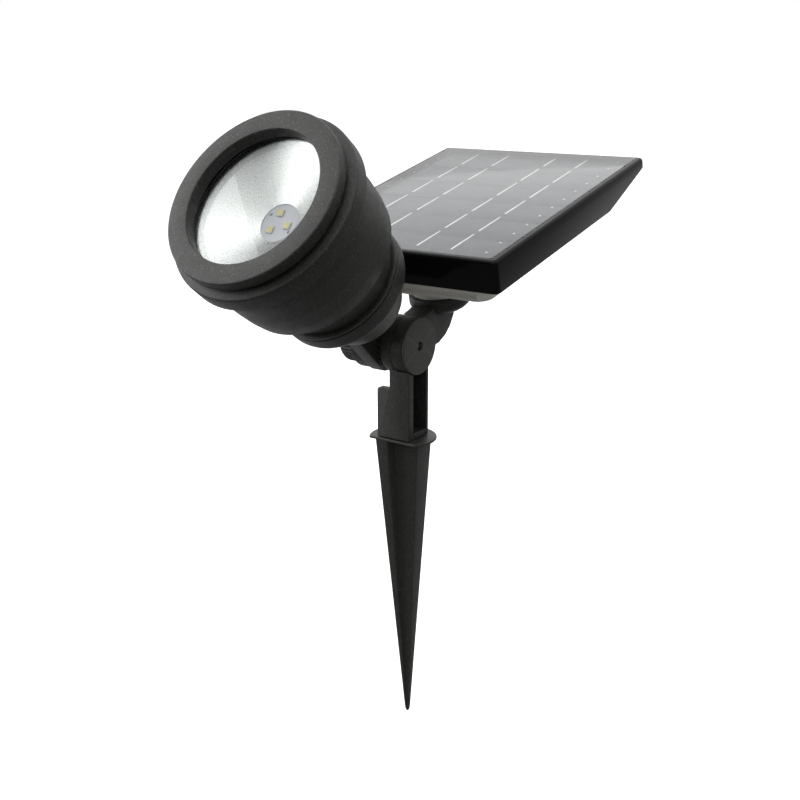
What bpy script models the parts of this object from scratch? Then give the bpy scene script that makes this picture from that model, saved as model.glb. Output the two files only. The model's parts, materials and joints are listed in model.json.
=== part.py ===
"""Solar garden light: a round adjustable lamp head and a separate tilting solar panel on one spiked post.

The origin is on the ground, in the middle of the post. +Z is up, +X runs along the clamping hinge towards its
flat disc, and the lamp head points towards -Y.
"""

import math

import bmesh
import bpy
from mathutils import Matrix, Vector

MM = 0.001

# Rounds
STEPS_LARGE = 56
STEPS_SMALL = 28
SMOOTH_ANGLE = math.radians(38)
GAP = 0.3 * MM
OVERLAP = 0.1 * MM

# Clamping hinge, along X
HINGE_HEIGHT = 60.0 * MM
KNUCKLE_RADIUS = 17.4 * MM
BOLT_RADIUS = 2.5 * MM
BOLT_BORE_RADIUS = 2.8 * MM
BOLT_HEAD_RADIUS = 4.8 * MM
BOLT_HEAD_HEIGHT = 2.1 * MM
DISC_RIGHT_X = 13.0 * MM
DISC_THICKNESS = 1.6 * MM
HEX_CORNER_RADIUS = 3.2 * MM
ARM_EAR_LEFT_X = 3.2 * MM
POST_KNUCKLE_LEFT_X = -4.6 * MM
LAMP_EAR_LEFT_X = -26.8 * MM
KNOB_LENGTH = 9.9 * MM
KNOB_RADIUS = 15.4 * MM
KNOB_STEPS = 60
KNOB_RIDGE_DEPTH = 0.7 * MM
TOOTH_STEPS = 56
TOOTH_DEPTH = 1.0 * MM
TOOTH_LENGTH = 1.5 * MM

# Post
POST_HALF_WIDTH = 11.65 * MM
POST_FRONT_Y = -10.0 * MM
POST_BACK_Y = 11.5 * MM
POST_NOTCH_HEIGHT = 33.3 * MM
POST_NOTCH_X = -2.6 * MM
POST_FRONT_PLATE = 5.2 * MM
POST_BACK_PLATE = 2.4 * MM
POST_WEB_HALF = 2.6 * MM
CHANNEL_FLOOR = 5.8 * MM

# Ground spike
FLANGE_RADIUS = 20.8 * MM
FLANGE_CENTRE_Y = 1.0 * MM
FLANGE_FRONT_Y = -11.2 * MM
FLANGE_THICKNESS = 1.6 * MM
SPIKE_LENGTH = 193.0 * MM
SPIKE_TIP_Y = 6.4 * MM
SPIKE_HALF_WIDTH = 12.9 * MM
SPIKE_BACK_Y = 13.6 * MM
TENON_HALF = 6.0 * MM
TENON_HEIGHT = 2.4 * MM

# Lamp head, revolved about its own axis; depths are measured back from the front face
LAMP_X = 2.5 * MM
LAMP_DROP = 2.1 * MM
LAMP_ELEVATION = math.radians(38.1)
LAMP_REACH = 167.1 * MM
LENS_RADIUS = 44.6 * MM
LENS_DEPTH = 7.3 * MM
LENS_THICKNESS = 2.5 * MM
LED_PLATE_DEPTH = 26.4 * MM
LED_RING_RADIUS = 5.9 * MM
LED_SIZE = 3.7 * MM
LED_FIRST_ANGLE = math.radians(-12)

# Panel arm and swivel
SWIVEL_X = 3.5 * MM
SWIVEL_Y = 36.0 * MM
SWIVEL_HEIGHT = 82.4 * MM
SWIVEL_RADIUS = 19.2 * MM
DOME_DEPTH = 8.0 * MM
ARM_LEFT_X = -4.1 * MM

# Solar panel, in the swivel's own frame: u across, v back along the slope, w up along its normal
PANEL_TILT = math.radians(12.7)
PANEL_HALF_WIDTH = 76.0 * MM
PANEL_FRONT_V = -53.8 * MM
PANEL_REAR_V = 138.8 * MM
PANEL_TOP_W = 51.8 * MM
PANEL_BOTTOM_W = 32.5 * MM
PANEL_LIP = 6.4 * MM
PANEL_SLOPE_V = 88.0 * MM
PANEL_RIM = 3.4 * MM
PANEL_EDGE = 2.4 * MM
PANEL_CORNER = 3.5 * MM
HOUSING_WALL = 5.6 * MM
HOUSING_SIDE = 10.2 * MM
GLASS_THICKNESS = 2.4 * MM
CELL_COUNT = 6
CELL_SIDE_MARGIN = 5.0 * MM
CELL_END_MARGIN = 1.5 * MM
CELL_GAP = 1.0 * MM
CELL_THICKNESS = 0.4 * MM
BACK_SHEET_THICKNESS = 1.2 * MM
CORNER_POST = 16.0 * MM
COVER_WALL = 2.0 * MM
COVER_FRONT_INSET = 1.6 * MM
COVER_SIDE_INSET = 8.0 * MM
COVER_TAPER = 3.2 * MM
COVER_CORNER = 8.0 * MM
COVER_FLOOR_W = 24.3 * MM
BOX_FLOOR_W = 8.2 * MM
SWIVEL_BOSS_RADIUS = 16.6 * MM
SCREW_HEAD_RADIUS = 2.9 * MM
SCREW_RADIUS = 1.5 * MM
SCREW_HEAD_HEIGHT = 1.1 * MM
SCREW_SEAT = 1.2 * MM
CELL_RADIUS = 9.1 * MM
BATTERY_LENGTH = 65.0 * MM
BUTTON_V = 62.0 * MM
BUTTON_RADIUS = 5.0 * MM


def clear_scene():
    for obj in list(bpy.data.objects):
        bpy.data.objects.remove(obj, do_unlink=True)


def make_material(name, colour, roughness, metallic=0.0):
    material = bpy.data.materials.new(name)
    material.use_nodes = True
    shader = material.node_tree.nodes["Principled BSDF"]
    shader.inputs["Base Color"].default_value = (*colour, 1.0)
    shader.inputs["Roughness"].default_value = roughness
    shader.inputs["Metallic"].default_value = metallic
    return material


def make_object(name, mesh_data, material=None, parent=None, location=(0, 0, 0)):
    mesh = bpy.data.meshes.new(name)
    bmesh.ops.recalc_face_normals(mesh_data, faces=mesh_data.faces)
    mesh_data.to_mesh(mesh)
    mesh_data.free()
    mesh.shade_smooth()
    mesh.set_sharp_from_angle(angle=SMOOTH_ANGLE)
    obj = bpy.data.objects.new(name, mesh)
    bpy.context.scene.collection.objects.link(obj)
    if material is not None:
        mesh.materials.append(material)
    obj.parent = parent
    obj.location = location
    return obj


def make_empty(name, location, tilt=0.0, parent=None):
    empty = bpy.data.objects.new(name, None)
    bpy.context.scene.collection.objects.link(empty)
    empty.parent = parent
    empty.location = location
    empty.rotation_euler = (tilt, 0.0, 0.0)
    return empty


def make_cutter(name, mesh_data, parent=None, location=(0, 0, 0)):
    cutter = make_object(name, mesh_data, None, parent, location)
    cutter.hide_render = True
    cutter.display_type = "WIRE"
    return cutter


def add_boolean(obj, operation, other):
    modifier = obj.modifiers.new(operation.title() + " " + other.name, "BOOLEAN")
    modifier.operation = operation
    modifier.solver = "EXACT"
    modifier.object = other


def add_bevel(obj, width, segments=2):
    modifier = obj.modifiers.new("Bevel", "BEVEL")
    modifier.width = width
    modifier.segments = segments
    modifier.limit_method = "ANGLE"
    modifier.angle_limit = math.radians(40)


def bridge_rings(mesh_data, rings, closed):
    pairs = list(zip(rings, rings[1:]))
    if closed:
        pairs.append((rings[-1], rings[0]))
    for first, second in pairs:
        count = max(len(first), len(second))
        for i in range(count):
            j = (i + 1) % count
            if len(first) == 1:
                corners = (first[0], second[i], second[j])
            elif len(second) == 1:
                corners = (first[i], first[j], second[0])
            else:
                corners = (first[i], first[j], second[j], second[i])
            mesh_data.faces.new(corners)


def lathe(profile, steps, closed=False, ridge_depth=0.0, ridge_rings=()):
    """Revolve (radius, z) points about Z. Rings in ridge_rings lose ridge_depth at every other pair."""
    mesh_data = bmesh.new()
    rings = []
    for number, (radius, z) in enumerate(profile):
        if radius == 0.0:
            rings.append([mesh_data.verts.new((0.0, 0.0, z))])
            continue
        ring = []
        for step in range(steps):
            angle = 2 * math.pi * step / steps
            low = number in ridge_rings and step % 4 >= 2
            size = radius - ridge_depth if low else radius
            ring.append(mesh_data.verts.new((size * math.cos(angle), size * math.sin(angle), z)))
        rings.append(ring)
    bridge_rings(mesh_data, rings, closed)
    return mesh_data


def turn_to_x(mesh_data):
    """Lay a lathe's Z axis along X."""
    bmesh.ops.transform(mesh_data, matrix=Matrix.Rotation(math.pi / 2, 4, "Y"), verts=mesh_data.verts)
    return mesh_data


def turn_to_y(mesh_data):
    """Lay a lathe's Z axis along Y."""
    bmesh.ops.transform(mesh_data, matrix=Matrix.Rotation(-math.pi / 2, 4, "X"), verts=mesh_data.verts)
    return mesh_data


def rod(radius, low, high, steps=STEPS_SMALL):
    return lathe([(0.0, low), (radius, low), (radius, high), (0.0, high)], steps)


def tube(inner, outer, low, high, steps=STEPS_SMALL):
    return lathe([(inner, low), (outer, low), (outer, high), (inner, high)], steps, closed=True)


def box(low, high):
    size = Vector(high) - Vector(low)
    centre = (Vector(high) + Vector(low)) / 2
    mesh_data = bmesh.new()
    bmesh.ops.create_cube(mesh_data, size=1.0)
    bmesh.ops.scale(mesh_data, vec=size, verts=mesh_data.verts)
    bmesh.ops.translate(mesh_data, vec=centre, verts=mesh_data.verts)
    return mesh_data


def side_prism(outline, low_x, high_x):
    """Extrude a (y, z) outline along X."""
    mesh_data = bmesh.new()
    ends = [[mesh_data.verts.new((x, y, z)) for y, z in outline] for x in (low_x, high_x)]
    bridge_rings(mesh_data, ends, False)
    mesh_data.faces.new(ends[0])
    mesh_data.faces.new(ends[1])
    return mesh_data


def plan_stack(rings):
    """Join flat rings of (x, y) points, given as (z, points), into one solid capped at both ends."""
    mesh_data = bmesh.new()
    made = [[mesh_data.verts.new((x, y, z)) for x, y in points] for z, points in rings]
    bridge_rings(mesh_data, made, False)
    mesh_data.faces.new(made[0])
    mesh_data.faces.new(made[-1])
    return mesh_data


def rounded_rectangle(half_x, low_y, high_y, radius, steps=4):
    points = []
    corners = (
        (half_x - radius, high_y - radius, 0.0),
        (radius - half_x, high_y - radius, 0.5),
        (radius - half_x, low_y + radius, 1.0),
        (half_x - radius, low_y + radius, 1.5),
    )
    for x, y, start in corners:
        for step in range(steps + 1):
            angle = math.pi * (start + 0.5 * step / steps)
            points.append((x + radius * math.cos(angle), y + radius * math.sin(angle)))
    return points


def lamp_profile(points):
    """Turn (radius, depth behind the front face) in millimetres into (radius, z) from the hinge axis."""
    return [(radius * MM, LAMP_REACH - depth * MM) for radius, depth in points]


def build_spike(plastic):
    outline = []
    for step in range(STEPS_LARGE):
        angle = 2 * math.pi * step / STEPS_LARGE
        y = FLANGE_CENTRE_Y + FLANGE_RADIUS * math.sin(angle)
        outline.append((FLANGE_RADIUS * math.cos(angle), max(y, FLANGE_FRONT_Y)))
    flange = plan_stack([(0.0, outline), (FLANGE_THICKNESS, outline)])
    spike = make_object("ground_spike", flange, plastic)

    half = SPIKE_HALF_WIDTH
    section = [
        (-half, POST_FRONT_Y - 0.6 * MM),
        (-4.0 * MM, POST_FRONT_Y - 0.6 * MM),
        (-2.4 * MM, -4.6 * MM),
        (2.4 * MM, -3.0 * MM),
        (half, -2.6 * MM),
        (half, SPIKE_BACK_Y),
        (4.0 * MM, SPIKE_BACK_Y),
        (2.4 * MM, 6.0 * MM),
        (-2.4 * MM, 4.4 * MM),
        (-half, 4.0 * MM),
    ]
    rings = []
    for share, scale in ((0.0, 1.0), (0.975, 0.105), (0.993, 0.075), (1.0, 0.03)):
        centre_y = share * (SPIKE_TIP_Y - 0.5 * MM) + 0.5 * MM
        ring = [(x * scale, centre_y + (y - 0.5 * MM) * scale) for x, y in section]
        rings.append((0.4 * MM - share * (SPIKE_LENGTH + 0.4 * MM), ring))
    add_boolean(spike, "UNION", make_cutter("spike_blade", plan_stack(rings)))
    low = (-TENON_HALF, FLANGE_CENTRE_Y - TENON_HALF, FLANGE_THICKNESS - 0.4 * MM)
    high = (TENON_HALF, FLANGE_CENTRE_Y + TENON_HALF, FLANGE_THICKNESS + TENON_HEIGHT)
    add_boolean(spike, "UNION", make_cutter("spike_tenon", box(low, high)))
    return spike


def build_post(plastic):
    """H-section column with a stepped top that carries the middle knuckle of the hinge."""
    foot = FLANGE_THICKNESS + GAP
    half = POST_HALF_WIDTH
    knuckle_right = ARM_EAR_LEFT_X - GAP
    low = (-half, POST_FRONT_Y, foot)
    post = make_object("post", box(low, (half, POST_BACK_Y, POST_NOTCH_HEIGHT)), plastic)
    low = (POST_NOTCH_X, POST_FRONT_Y, POST_NOTCH_HEIGHT - MM)
    upper = box(low, (half, POST_BACK_Y, HINGE_HEIGHT - 8.0 * MM))
    add_boolean(post, "UNION", make_cutter("post_upper", upper))
    hinge = (0.0, 0.0, HINGE_HEIGHT)
    clearance = turn_to_x(rod(KNUCKLE_RADIUS + 0.45 * MM, knuckle_right, half + MM, STEPS_LARGE))
    add_boolean(post, "DIFFERENCE", make_cutter("post_cradle", clearance, None, hinge))
    knuckle = turn_to_x(rod(KNUCKLE_RADIUS, POST_KNUCKLE_LEFT_X, knuckle_right, STEPS_LARGE))
    add_boolean(post, "UNION", make_cutter("post_knuckle", knuckle, None, hinge))
    bore = turn_to_x(rod(BOLT_BORE_RADIUS, -20.0 * MM, 20.0 * MM))
    add_boolean(post, "DIFFERENCE", make_cutter("post_bore", bore, None, hinge))
    for side, name in ((1, "post_channel_right"), (-1, "post_channel_left")):
        inner = side * POST_WEB_HALF
        outer = side * (half + MM)
        top = HINGE_HEIGHT - 12.0 * MM if side > 0 else POST_NOTCH_HEIGHT + MM
        low = (min(inner, outer), POST_FRONT_Y + POST_FRONT_PLATE, CHANNEL_FLOOR)
        high = (max(inner, outer), POST_BACK_Y - POST_BACK_PLATE, top)
        add_boolean(post, "DIFFERENCE", make_cutter(name, box(low, high)))
    room = TENON_HALF + GAP
    low = (-room, FLANGE_CENTRE_Y - room, 0.0)
    high = (room, FLANGE_CENTRE_Y + room, FLANGE_THICKNESS + TENON_HEIGHT + GAP)
    add_boolean(post, "DIFFERENCE", make_cutter("post_socket", box(low, high)))
    return post


def build_hinge_hardware(steel, cap):
    hinge = (0.0, 0.0, HINGE_HEIGHT)
    disc_left = DISC_RIGHT_X - DISC_THICKNESS
    head_right = disc_left - GAP
    head_left = head_right - BOLT_HEAD_HEIGHT
    profile = [
        (0.0, LAMP_EAR_LEFT_X - 8.0 * MM),
        (BOLT_RADIUS, LAMP_EAR_LEFT_X - 8.0 * MM),
        (BOLT_RADIUS, head_left),
        (BOLT_HEAD_RADIUS, head_left),
        (BOLT_HEAD_RADIUS, head_right),
        (0.0, head_right),
    ]
    bolt = make_object("hinge_bolt", turn_to_x(lathe(profile, STEPS_SMALL)), steel, None, hinge)
    edge = 0.35 * MM
    profile = [
        (0.0, disc_left),
        (KNUCKLE_RADIUS, disc_left),
        (KNUCKLE_RADIUS, DISC_RIGHT_X - edge),
        (KNUCKLE_RADIUS - edge, DISC_RIGHT_X),
        (0.0, DISC_RIGHT_X),
    ]
    disc = make_object("hinge_disc", turn_to_x(lathe(profile, STEPS_LARGE)), cap, None, hinge)
    socket = turn_to_x(rod(HEX_CORNER_RADIUS, 0.0, 20.0 * MM, 6))
    add_boolean(disc, "DIFFERENCE", make_cutter("disc_socket", socket, None, hinge))
    return bolt, disc


def build_knob(plastic, brass):
    right = LAMP_EAR_LEFT_X - GAP
    left = right - KNOB_LENGTH
    pocket = 5.3 * MM
    profile = [
        (0.0, left),
        (KNOB_RADIUS - 2.6 * MM, left),
        (KNOB_RADIUS - 0.8 * MM, left + 0.9 * MM),
        (KNOB_RADIUS, left + 2.4 * MM),
        (KNOB_RADIUS, right - 0.8 * MM),
        (KNOB_RADIUS - 0.8 * MM, right),
        (pocket, right),
        (pocket, left + 1.6 * MM),
        (0.0, left + 1.6 * MM),
    ]
    pivot = make_empty("knob_pivot", (0.0, 0.0, HINGE_HEIGHT))
    body = lathe(profile, KNOB_STEPS, False, KNOB_RIDGE_DEPTH, (3, 4))
    knob = make_object("clamp_knob", turn_to_x(body), plastic, pivot)
    nut = turn_to_x(tube(BOLT_BORE_RADIUS, pocket - GAP, left + 3.0 * MM, right - 0.4 * MM))
    insert = make_object("knob_insert", nut, brass, pivot)
    return knob, insert


def build_lamp_shell(pivot, plastic, ring_plastic):
    axis = (LAMP_X, -LAMP_DROP, 0.0)
    bezel_points = [
        (38.6, 0.5), (39.1, 0.0), (48.6, 0.0), (49.7, 0.4), (50.1, 1.4), (50.1, 5.9), (47.6, 6.5),
        (47.6, 8.4), (50.2, 8.7), (52.2, 9.6), (53.6, 11.2), (54.0, 13.2), (54.0, 19.3), (48.2, 19.3),
        (48.2, 11.0), (45.0, 11.0), (45.0, 7.0), (38.6, 7.0),
    ]
    bezel = make_object(
        "bezel_ring", lathe(lamp_profile(bezel_points), STEPS_LARGE, True), ring_plastic, pivot, axis
    )
    housing_points = [
        (47.8, 12.0), (47.8, 19.6), (48.8, 19.6), (49.0, 30.0), (48.8, 42.0), (48.0, 52.0), (46.9, 58.2),
        (46.1, 59.2), (42.4, 61.4), (38.9, 66.0), (37.0, 72.0), (36.4, 79.0), (4.0, 79.0), (4.0, 76.5),
        (33.6, 76.5), (34.4, 71.0), (36.4, 64.6), (40.4, 59.4), (44.4, 56.2), (46.0, 48.0), (46.8, 30.0),
        (46.6, 23.0), (45.6, 21.0), (45.6, 15.0), (43.0, 14.0), (43.0, 12.0),
    ]
    housing = make_object(
        "lamp_housing", lathe(lamp_profile(housing_points), STEPS_LARGE, True), plastic, pivot, axis
    )
    collar_points = [
        (38.0, 79.3), (38.8, 79.9), (38.8, 81.2), (37.6, 81.6), (37.6, 82.3), (38.7, 82.7), (38.4, 91.2),
        (37.4, 93.6), (35.2, 94.6), (8.0, 94.6), (8.0, 79.3),
    ]
    collar = make_object(
        "lamp_collar", lathe(lamp_profile(collar_points), STEPS_LARGE, True), plastic, pivot, axis
    )
    return bezel, housing, collar


def build_lamp_neck(pivot, plastic):
    """Hollow cone behind the collar, with an offset ear that ends in a toothed barrel on the hinge."""
    neck_points = [
        (0.0, 116.8), (21.8, 116.8), (23.8, 116.0), (24.9, 114.2), (31.8, 98.0), (33.0, 94.9),
        (29.8, 94.9), (22.6, 111.8), (0.0, 112.8),
    ]
    axis = (LAMP_X, -LAMP_DROP, 0.0)
    neck = make_object("lamp_neck", lathe(lamp_profile(neck_points), STEPS_LARGE), plastic, pivot, axis)
    ear_right = POST_KNUCKLE_LEFT_X - GAP
    reach = LAMP_REACH - 114.4 * MM
    outline = [(-12.0 * MM, reach), (12.0 * MM, reach), (15.6 * MM, 6.0 * MM), (15.6 * MM, -6.0 * MM)]
    outline += [(-15.6 * MM, -6.0 * MM), (-15.6 * MM, 6.0 * MM)]
    web = side_prism(outline, -18.0 * MM - LAMP_X, ear_right - 2.0 * MM - LAMP_X)
    add_boolean(neck, "UNION", make_cutter("neck_web", web, pivot, axis))
    left = LAMP_EAR_LEFT_X
    profile = [
        (0.0, left),
        (KNUCKLE_RADIUS - 1.2 * MM, left),
        (KNUCKLE_RADIUS, left + 1.2 * MM),
        (KNUCKLE_RADIUS, ear_right - TOOTH_LENGTH),
        (KNUCKLE_RADIUS, ear_right),
        (0.0, ear_right),
    ]
    barrel = turn_to_x(lathe(profile, TOOTH_STEPS, False, TOOTH_DEPTH, (4,)))
    add_boolean(neck, "UNION", make_cutter("neck_barrel", barrel, pivot))
    bore = turn_to_x(rod(BOLT_BORE_RADIUS, -40.0 * MM, 20.0 * MM))
    add_boolean(neck, "DIFFERENCE", make_cutter("neck_bore", bore, pivot))
    return neck


def build_lamp_optics(pivot, glass, rubber, mirror, board_paint, led_paint, aluminium):
    axis = (LAMP_X, -LAMP_DROP, 0.0)
    front = LAMP_REACH - LENS_DEPTH
    sheet = rod(LENS_RADIUS, front - LENS_THICKNESS, front, STEPS_LARGE)
    lens = make_object("lamp_lens", sheet, glass, pivot, axis)
    seat = front - LENS_THICKNESS - GAP
    seal = tube(41.5 * MM, LENS_RADIUS, seat - 1.5 * MM, seat, STEPS_LARGE)
    gasket = make_object("lens_gasket", seal, rubber, pivot, axis)
    reflector_points = [
        (11.2, 25.6), (12.4, 24.6), (20.0, 21.9), (30.0, 17.6), (38.0, 13.6), (40.8, 12.0), (42.7, 12.0),
        (42.7, 13.2), (41.2, 13.2), (38.4, 15.0), (30.4, 19.0), (20.4, 23.3), (12.8, 26.0), (11.2, 26.0),
    ]
    reflector = make_object(
        "reflector", lathe(lamp_profile(reflector_points), STEPS_LARGE, True), mirror, pivot, axis
    )
    plate_top = LAMP_REACH - LED_PLATE_DEPTH
    plate = rod(15.0 * MM, plate_top - 1.6 * MM, plate_top)
    board = make_object("led_board", plate, board_paint, pivot, axis)
    leds = []
    for number in range(3):
        angle = LED_FIRST_ANGLE + number * 2 * math.pi / 3
        half = LED_SIZE / 2
        chip = box((-half, -half, plate_top + GAP), (half, half, plate_top + GAP + 0.7 * MM))
        across = LAMP_X + LED_RING_RADIUS * math.cos(angle)
        place = (across, LED_RING_RADIUS * math.sin(angle) - LAMP_DROP, 0.0)
        leds.append(make_object("led_chip_" + str(number + 1), chip, led_paint, pivot, place))
    sink_points = [
        (3.0, 28.4), (25.0, 28.4), (25.0, 31.4), (9.0, 31.8), (8.0, 34.0), (8.0, 76.2), (3.0, 76.2),
    ]
    body = lathe(lamp_profile(sink_points), STEPS_SMALL, True)
    sink = make_object("heat_sink", body, aluminium, pivot, axis)
    return [lens, gasket, reflector, board, sink] + leds


def build_panel_arm(plastic, steel):
    """Ear on the hinge, rounded heel rising behind it and the domed disc that the panel swivels on."""
    pivot = make_empty("arm_pivot", (0.0, 0.0, HINGE_HEIGHT))
    ear_right = DISC_RIGHT_X - DISC_THICKNESS - GAP
    heel = [
        (4.0, -4.0), (16.4, -4.0), (24.2, -2.6), (31.0, 0.8), (36.4, 5.8), (40.2, 12.0), (42.4, 18.6),
        (42.8, 25.0), (22.6, 22.9), (20.0, 21.8), (17.0, 20.2), (13.4, 18.6), (8.0, 17.0), (2.0, 16.2),
    ]
    outline = [(y * MM, z * MM) for y, z in heel]
    arm = make_object("panel_arm", side_prism(outline, ARM_LEFT_X, ear_right), plastic, pivot)
    clearance_radius = KNUCKLE_RADIUS + 0.45 * MM
    clearance = turn_to_x(rod(clearance_radius, -20.0 * MM, ARM_EAR_LEFT_X - OVERLAP, STEPS_LARGE))
    add_boolean(arm, "DIFFERENCE", make_cutter("arm_cradle", clearance, pivot))
    ear = turn_to_x(rod(KNUCKLE_RADIUS, ARM_EAR_LEFT_X, ear_right - OVERLAP, STEPS_LARGE))
    add_boolean(arm, "UNION", make_cutter("arm_ear", ear, pivot))

    place = (SWIVEL_X, SWIVEL_Y, SWIVEL_HEIGHT - HINGE_HEIGHT)
    swivel = make_empty("swivel_axis", place, PANEL_TILT, pivot)
    profile = [
        (0.0, 5.0 * MM),
        (SWIVEL_RADIUS - 0.8 * MM, 5.0 * MM),
        (SWIVEL_RADIUS, 4.2 * MM),
        (SWIVEL_RADIUS, 0.0),
    ]
    for share in (0.25, 0.5, 0.75):
        angle = share * math.pi / 2
        profile.append((SWIVEL_RADIUS * math.cos(angle), -DOME_DEPTH * math.sin(angle)))
    profile.append((0.0, -DOME_DEPTH))
    add_boolean(arm, "UNION", make_cutter("arm_dome", lathe(profile, STEPS_LARGE), swivel))
    bore = turn_to_x(rod(BOLT_BORE_RADIUS, -20.0 * MM, 20.0 * MM))
    add_boolean(arm, "DIFFERENCE", make_cutter("arm_bore", bore, pivot))
    head_left = ear_right - BOLT_HEAD_HEIGHT - GAP
    recess = turn_to_x(rod(BOLT_HEAD_RADIUS + GAP, head_left, 20.0 * MM))
    add_boolean(arm, "DIFFERENCE", make_cutter("arm_counterbore", recess, pivot))
    pilot = rod(2.3 * MM, -4.0 * MM, 9.0 * MM)
    add_boolean(arm, "DIFFERENCE", make_cutter("arm_pilot", pilot, swivel))
    floor_top = BOX_FLOOR_W + COVER_WALL
    profile = [
        (0.0, -3.6 * MM),
        (2.0 * MM, -3.6 * MM),
        (2.0 * MM, floor_top + GAP),
        (4.6 * MM, floor_top + GAP),
        (4.6 * MM, floor_top + 2.3 * MM),
        (0.0, floor_top + 2.3 * MM),
    ]
    screw = make_object("swivel_screw", lathe(profile, STEPS_SMALL), steel, swivel)
    return arm, screw


def build_panel_housing(panel, plastic):
    def ring(level, inset, rear):
        half_width = PANEL_HALF_WIDTH - inset
        radius = PANEL_CORNER - inset
        return (level, rounded_rectangle(half_width, PANEL_FRONT_V + inset, rear - inset, radius))

    body = plan_stack([
        ring(PANEL_BOTTOM_W, 0.4 * MM, PANEL_SLOPE_V),
        ring(PANEL_BOTTOM_W + 0.4 * MM, 0.0, PANEL_SLOPE_V + 1.4 * MM),
        ring(PANEL_TOP_W - PANEL_LIP, 0.0, PANEL_REAR_V),
        ring(PANEL_TOP_W - PANEL_EDGE, 0.0, PANEL_REAR_V),
        ring(PANEL_TOP_W - 0.3 * PANEL_EDGE, 0.3 * PANEL_EDGE, PANEL_REAR_V),
        ring(PANEL_TOP_W, PANEL_EDGE, PANEL_REAR_V),
    ])
    housing = make_object("panel_housing", body, plastic, panel)
    room = PANEL_HALF_WIDTH - PANEL_RIM
    ledge = PANEL_TOP_W - 5.2 * MM
    low = (-room, PANEL_FRONT_V + PANEL_RIM, ledge)
    high = (room, PANEL_REAR_V - PANEL_RIM, PANEL_TOP_W + 2.0 * MM)
    add_boolean(housing, "DIFFERENCE", make_cutter("glass_recess", box(low, high), panel))
    half = PANEL_HALF_WIDTH - HOUSING_SIDE
    front = PANEL_FRONT_V + HOUSING_WALL
    rear = PANEL_SLOPE_V - 3.0 * MM
    step = CORNER_POST
    cross = [
        (half, front + step), (half, rear - step), (half - step, rear - step), (half - step, rear),
        (step - half, rear), (step - half, rear - step), (-half, rear - step), (-half, front + step),
        (step - half, front + step), (step - half, front), (half - step, front), (half - step, front + step),
    ]
    cavity = plan_stack([(PANEL_BOTTOM_W - 2.0 * MM, cross), (ledge + MM, cross)])
    add_boolean(housing, "DIFFERENCE", make_cutter("housing_cavity", cavity, panel))
    for number, (u, v) in enumerate(screw_places()):
        hole = rod(SCREW_RADIUS + GAP, PANEL_BOTTOM_W - 2.0 * MM, PANEL_BOTTOM_W + 9.0 * MM, 16)
        name = "post_hole_" + str(number + 1)
        add_boolean(housing, "DIFFERENCE", make_cutter(name, hole, panel, (u, v, 0)))
    return housing


def screw_places():
    u = PANEL_HALF_WIDTH - HOUSING_SIDE - CORNER_POST / 2
    front = PANEL_FRONT_V + HOUSING_WALL + CORNER_POST / 2
    rear = PANEL_SLOPE_V - 3.0 * MM - CORNER_POST / 2
    return [(u, front), (-u, front), (u, rear), (-u, rear)]


def build_panel_laminate(panel, glass, silicon, backing):
    half = PANEL_HALF_WIDTH - PANEL_RIM - GAP
    front = PANEL_FRONT_V + PANEL_RIM + GAP
    rear = PANEL_REAR_V - PANEL_RIM - GAP
    top = PANEL_TOP_W + 0.2 * MM
    glass_bottom = top - GLASS_THICKNESS
    sheet = make_object("panel_glass", box((-half, front, glass_bottom), (half, rear, top)), glass, panel)
    cell_top = glass_bottom - GAP
    cell_bottom = cell_top - CELL_THICKNESS
    side = half - CELL_SIDE_MARGIN
    pitch = (rear - front - 2 * CELL_END_MARGIN + CELL_GAP) / CELL_COUNT
    made = [sheet]
    for number in range(CELL_COUNT):
        start = front + CELL_END_MARGIN + number * pitch
        cell = box((-side, start, cell_bottom), (side, start + pitch - CELL_GAP, cell_top))
        made.append(make_object("solar_cell_" + str(number + 1), cell, silicon, panel))
    back_top = cell_bottom - GAP
    back = box((-half, front, back_top - BACK_SHEET_THICKNESS), (half, rear, back_top))
    made.append(make_object("panel_back_sheet", back, backing, panel))
    return made


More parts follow.
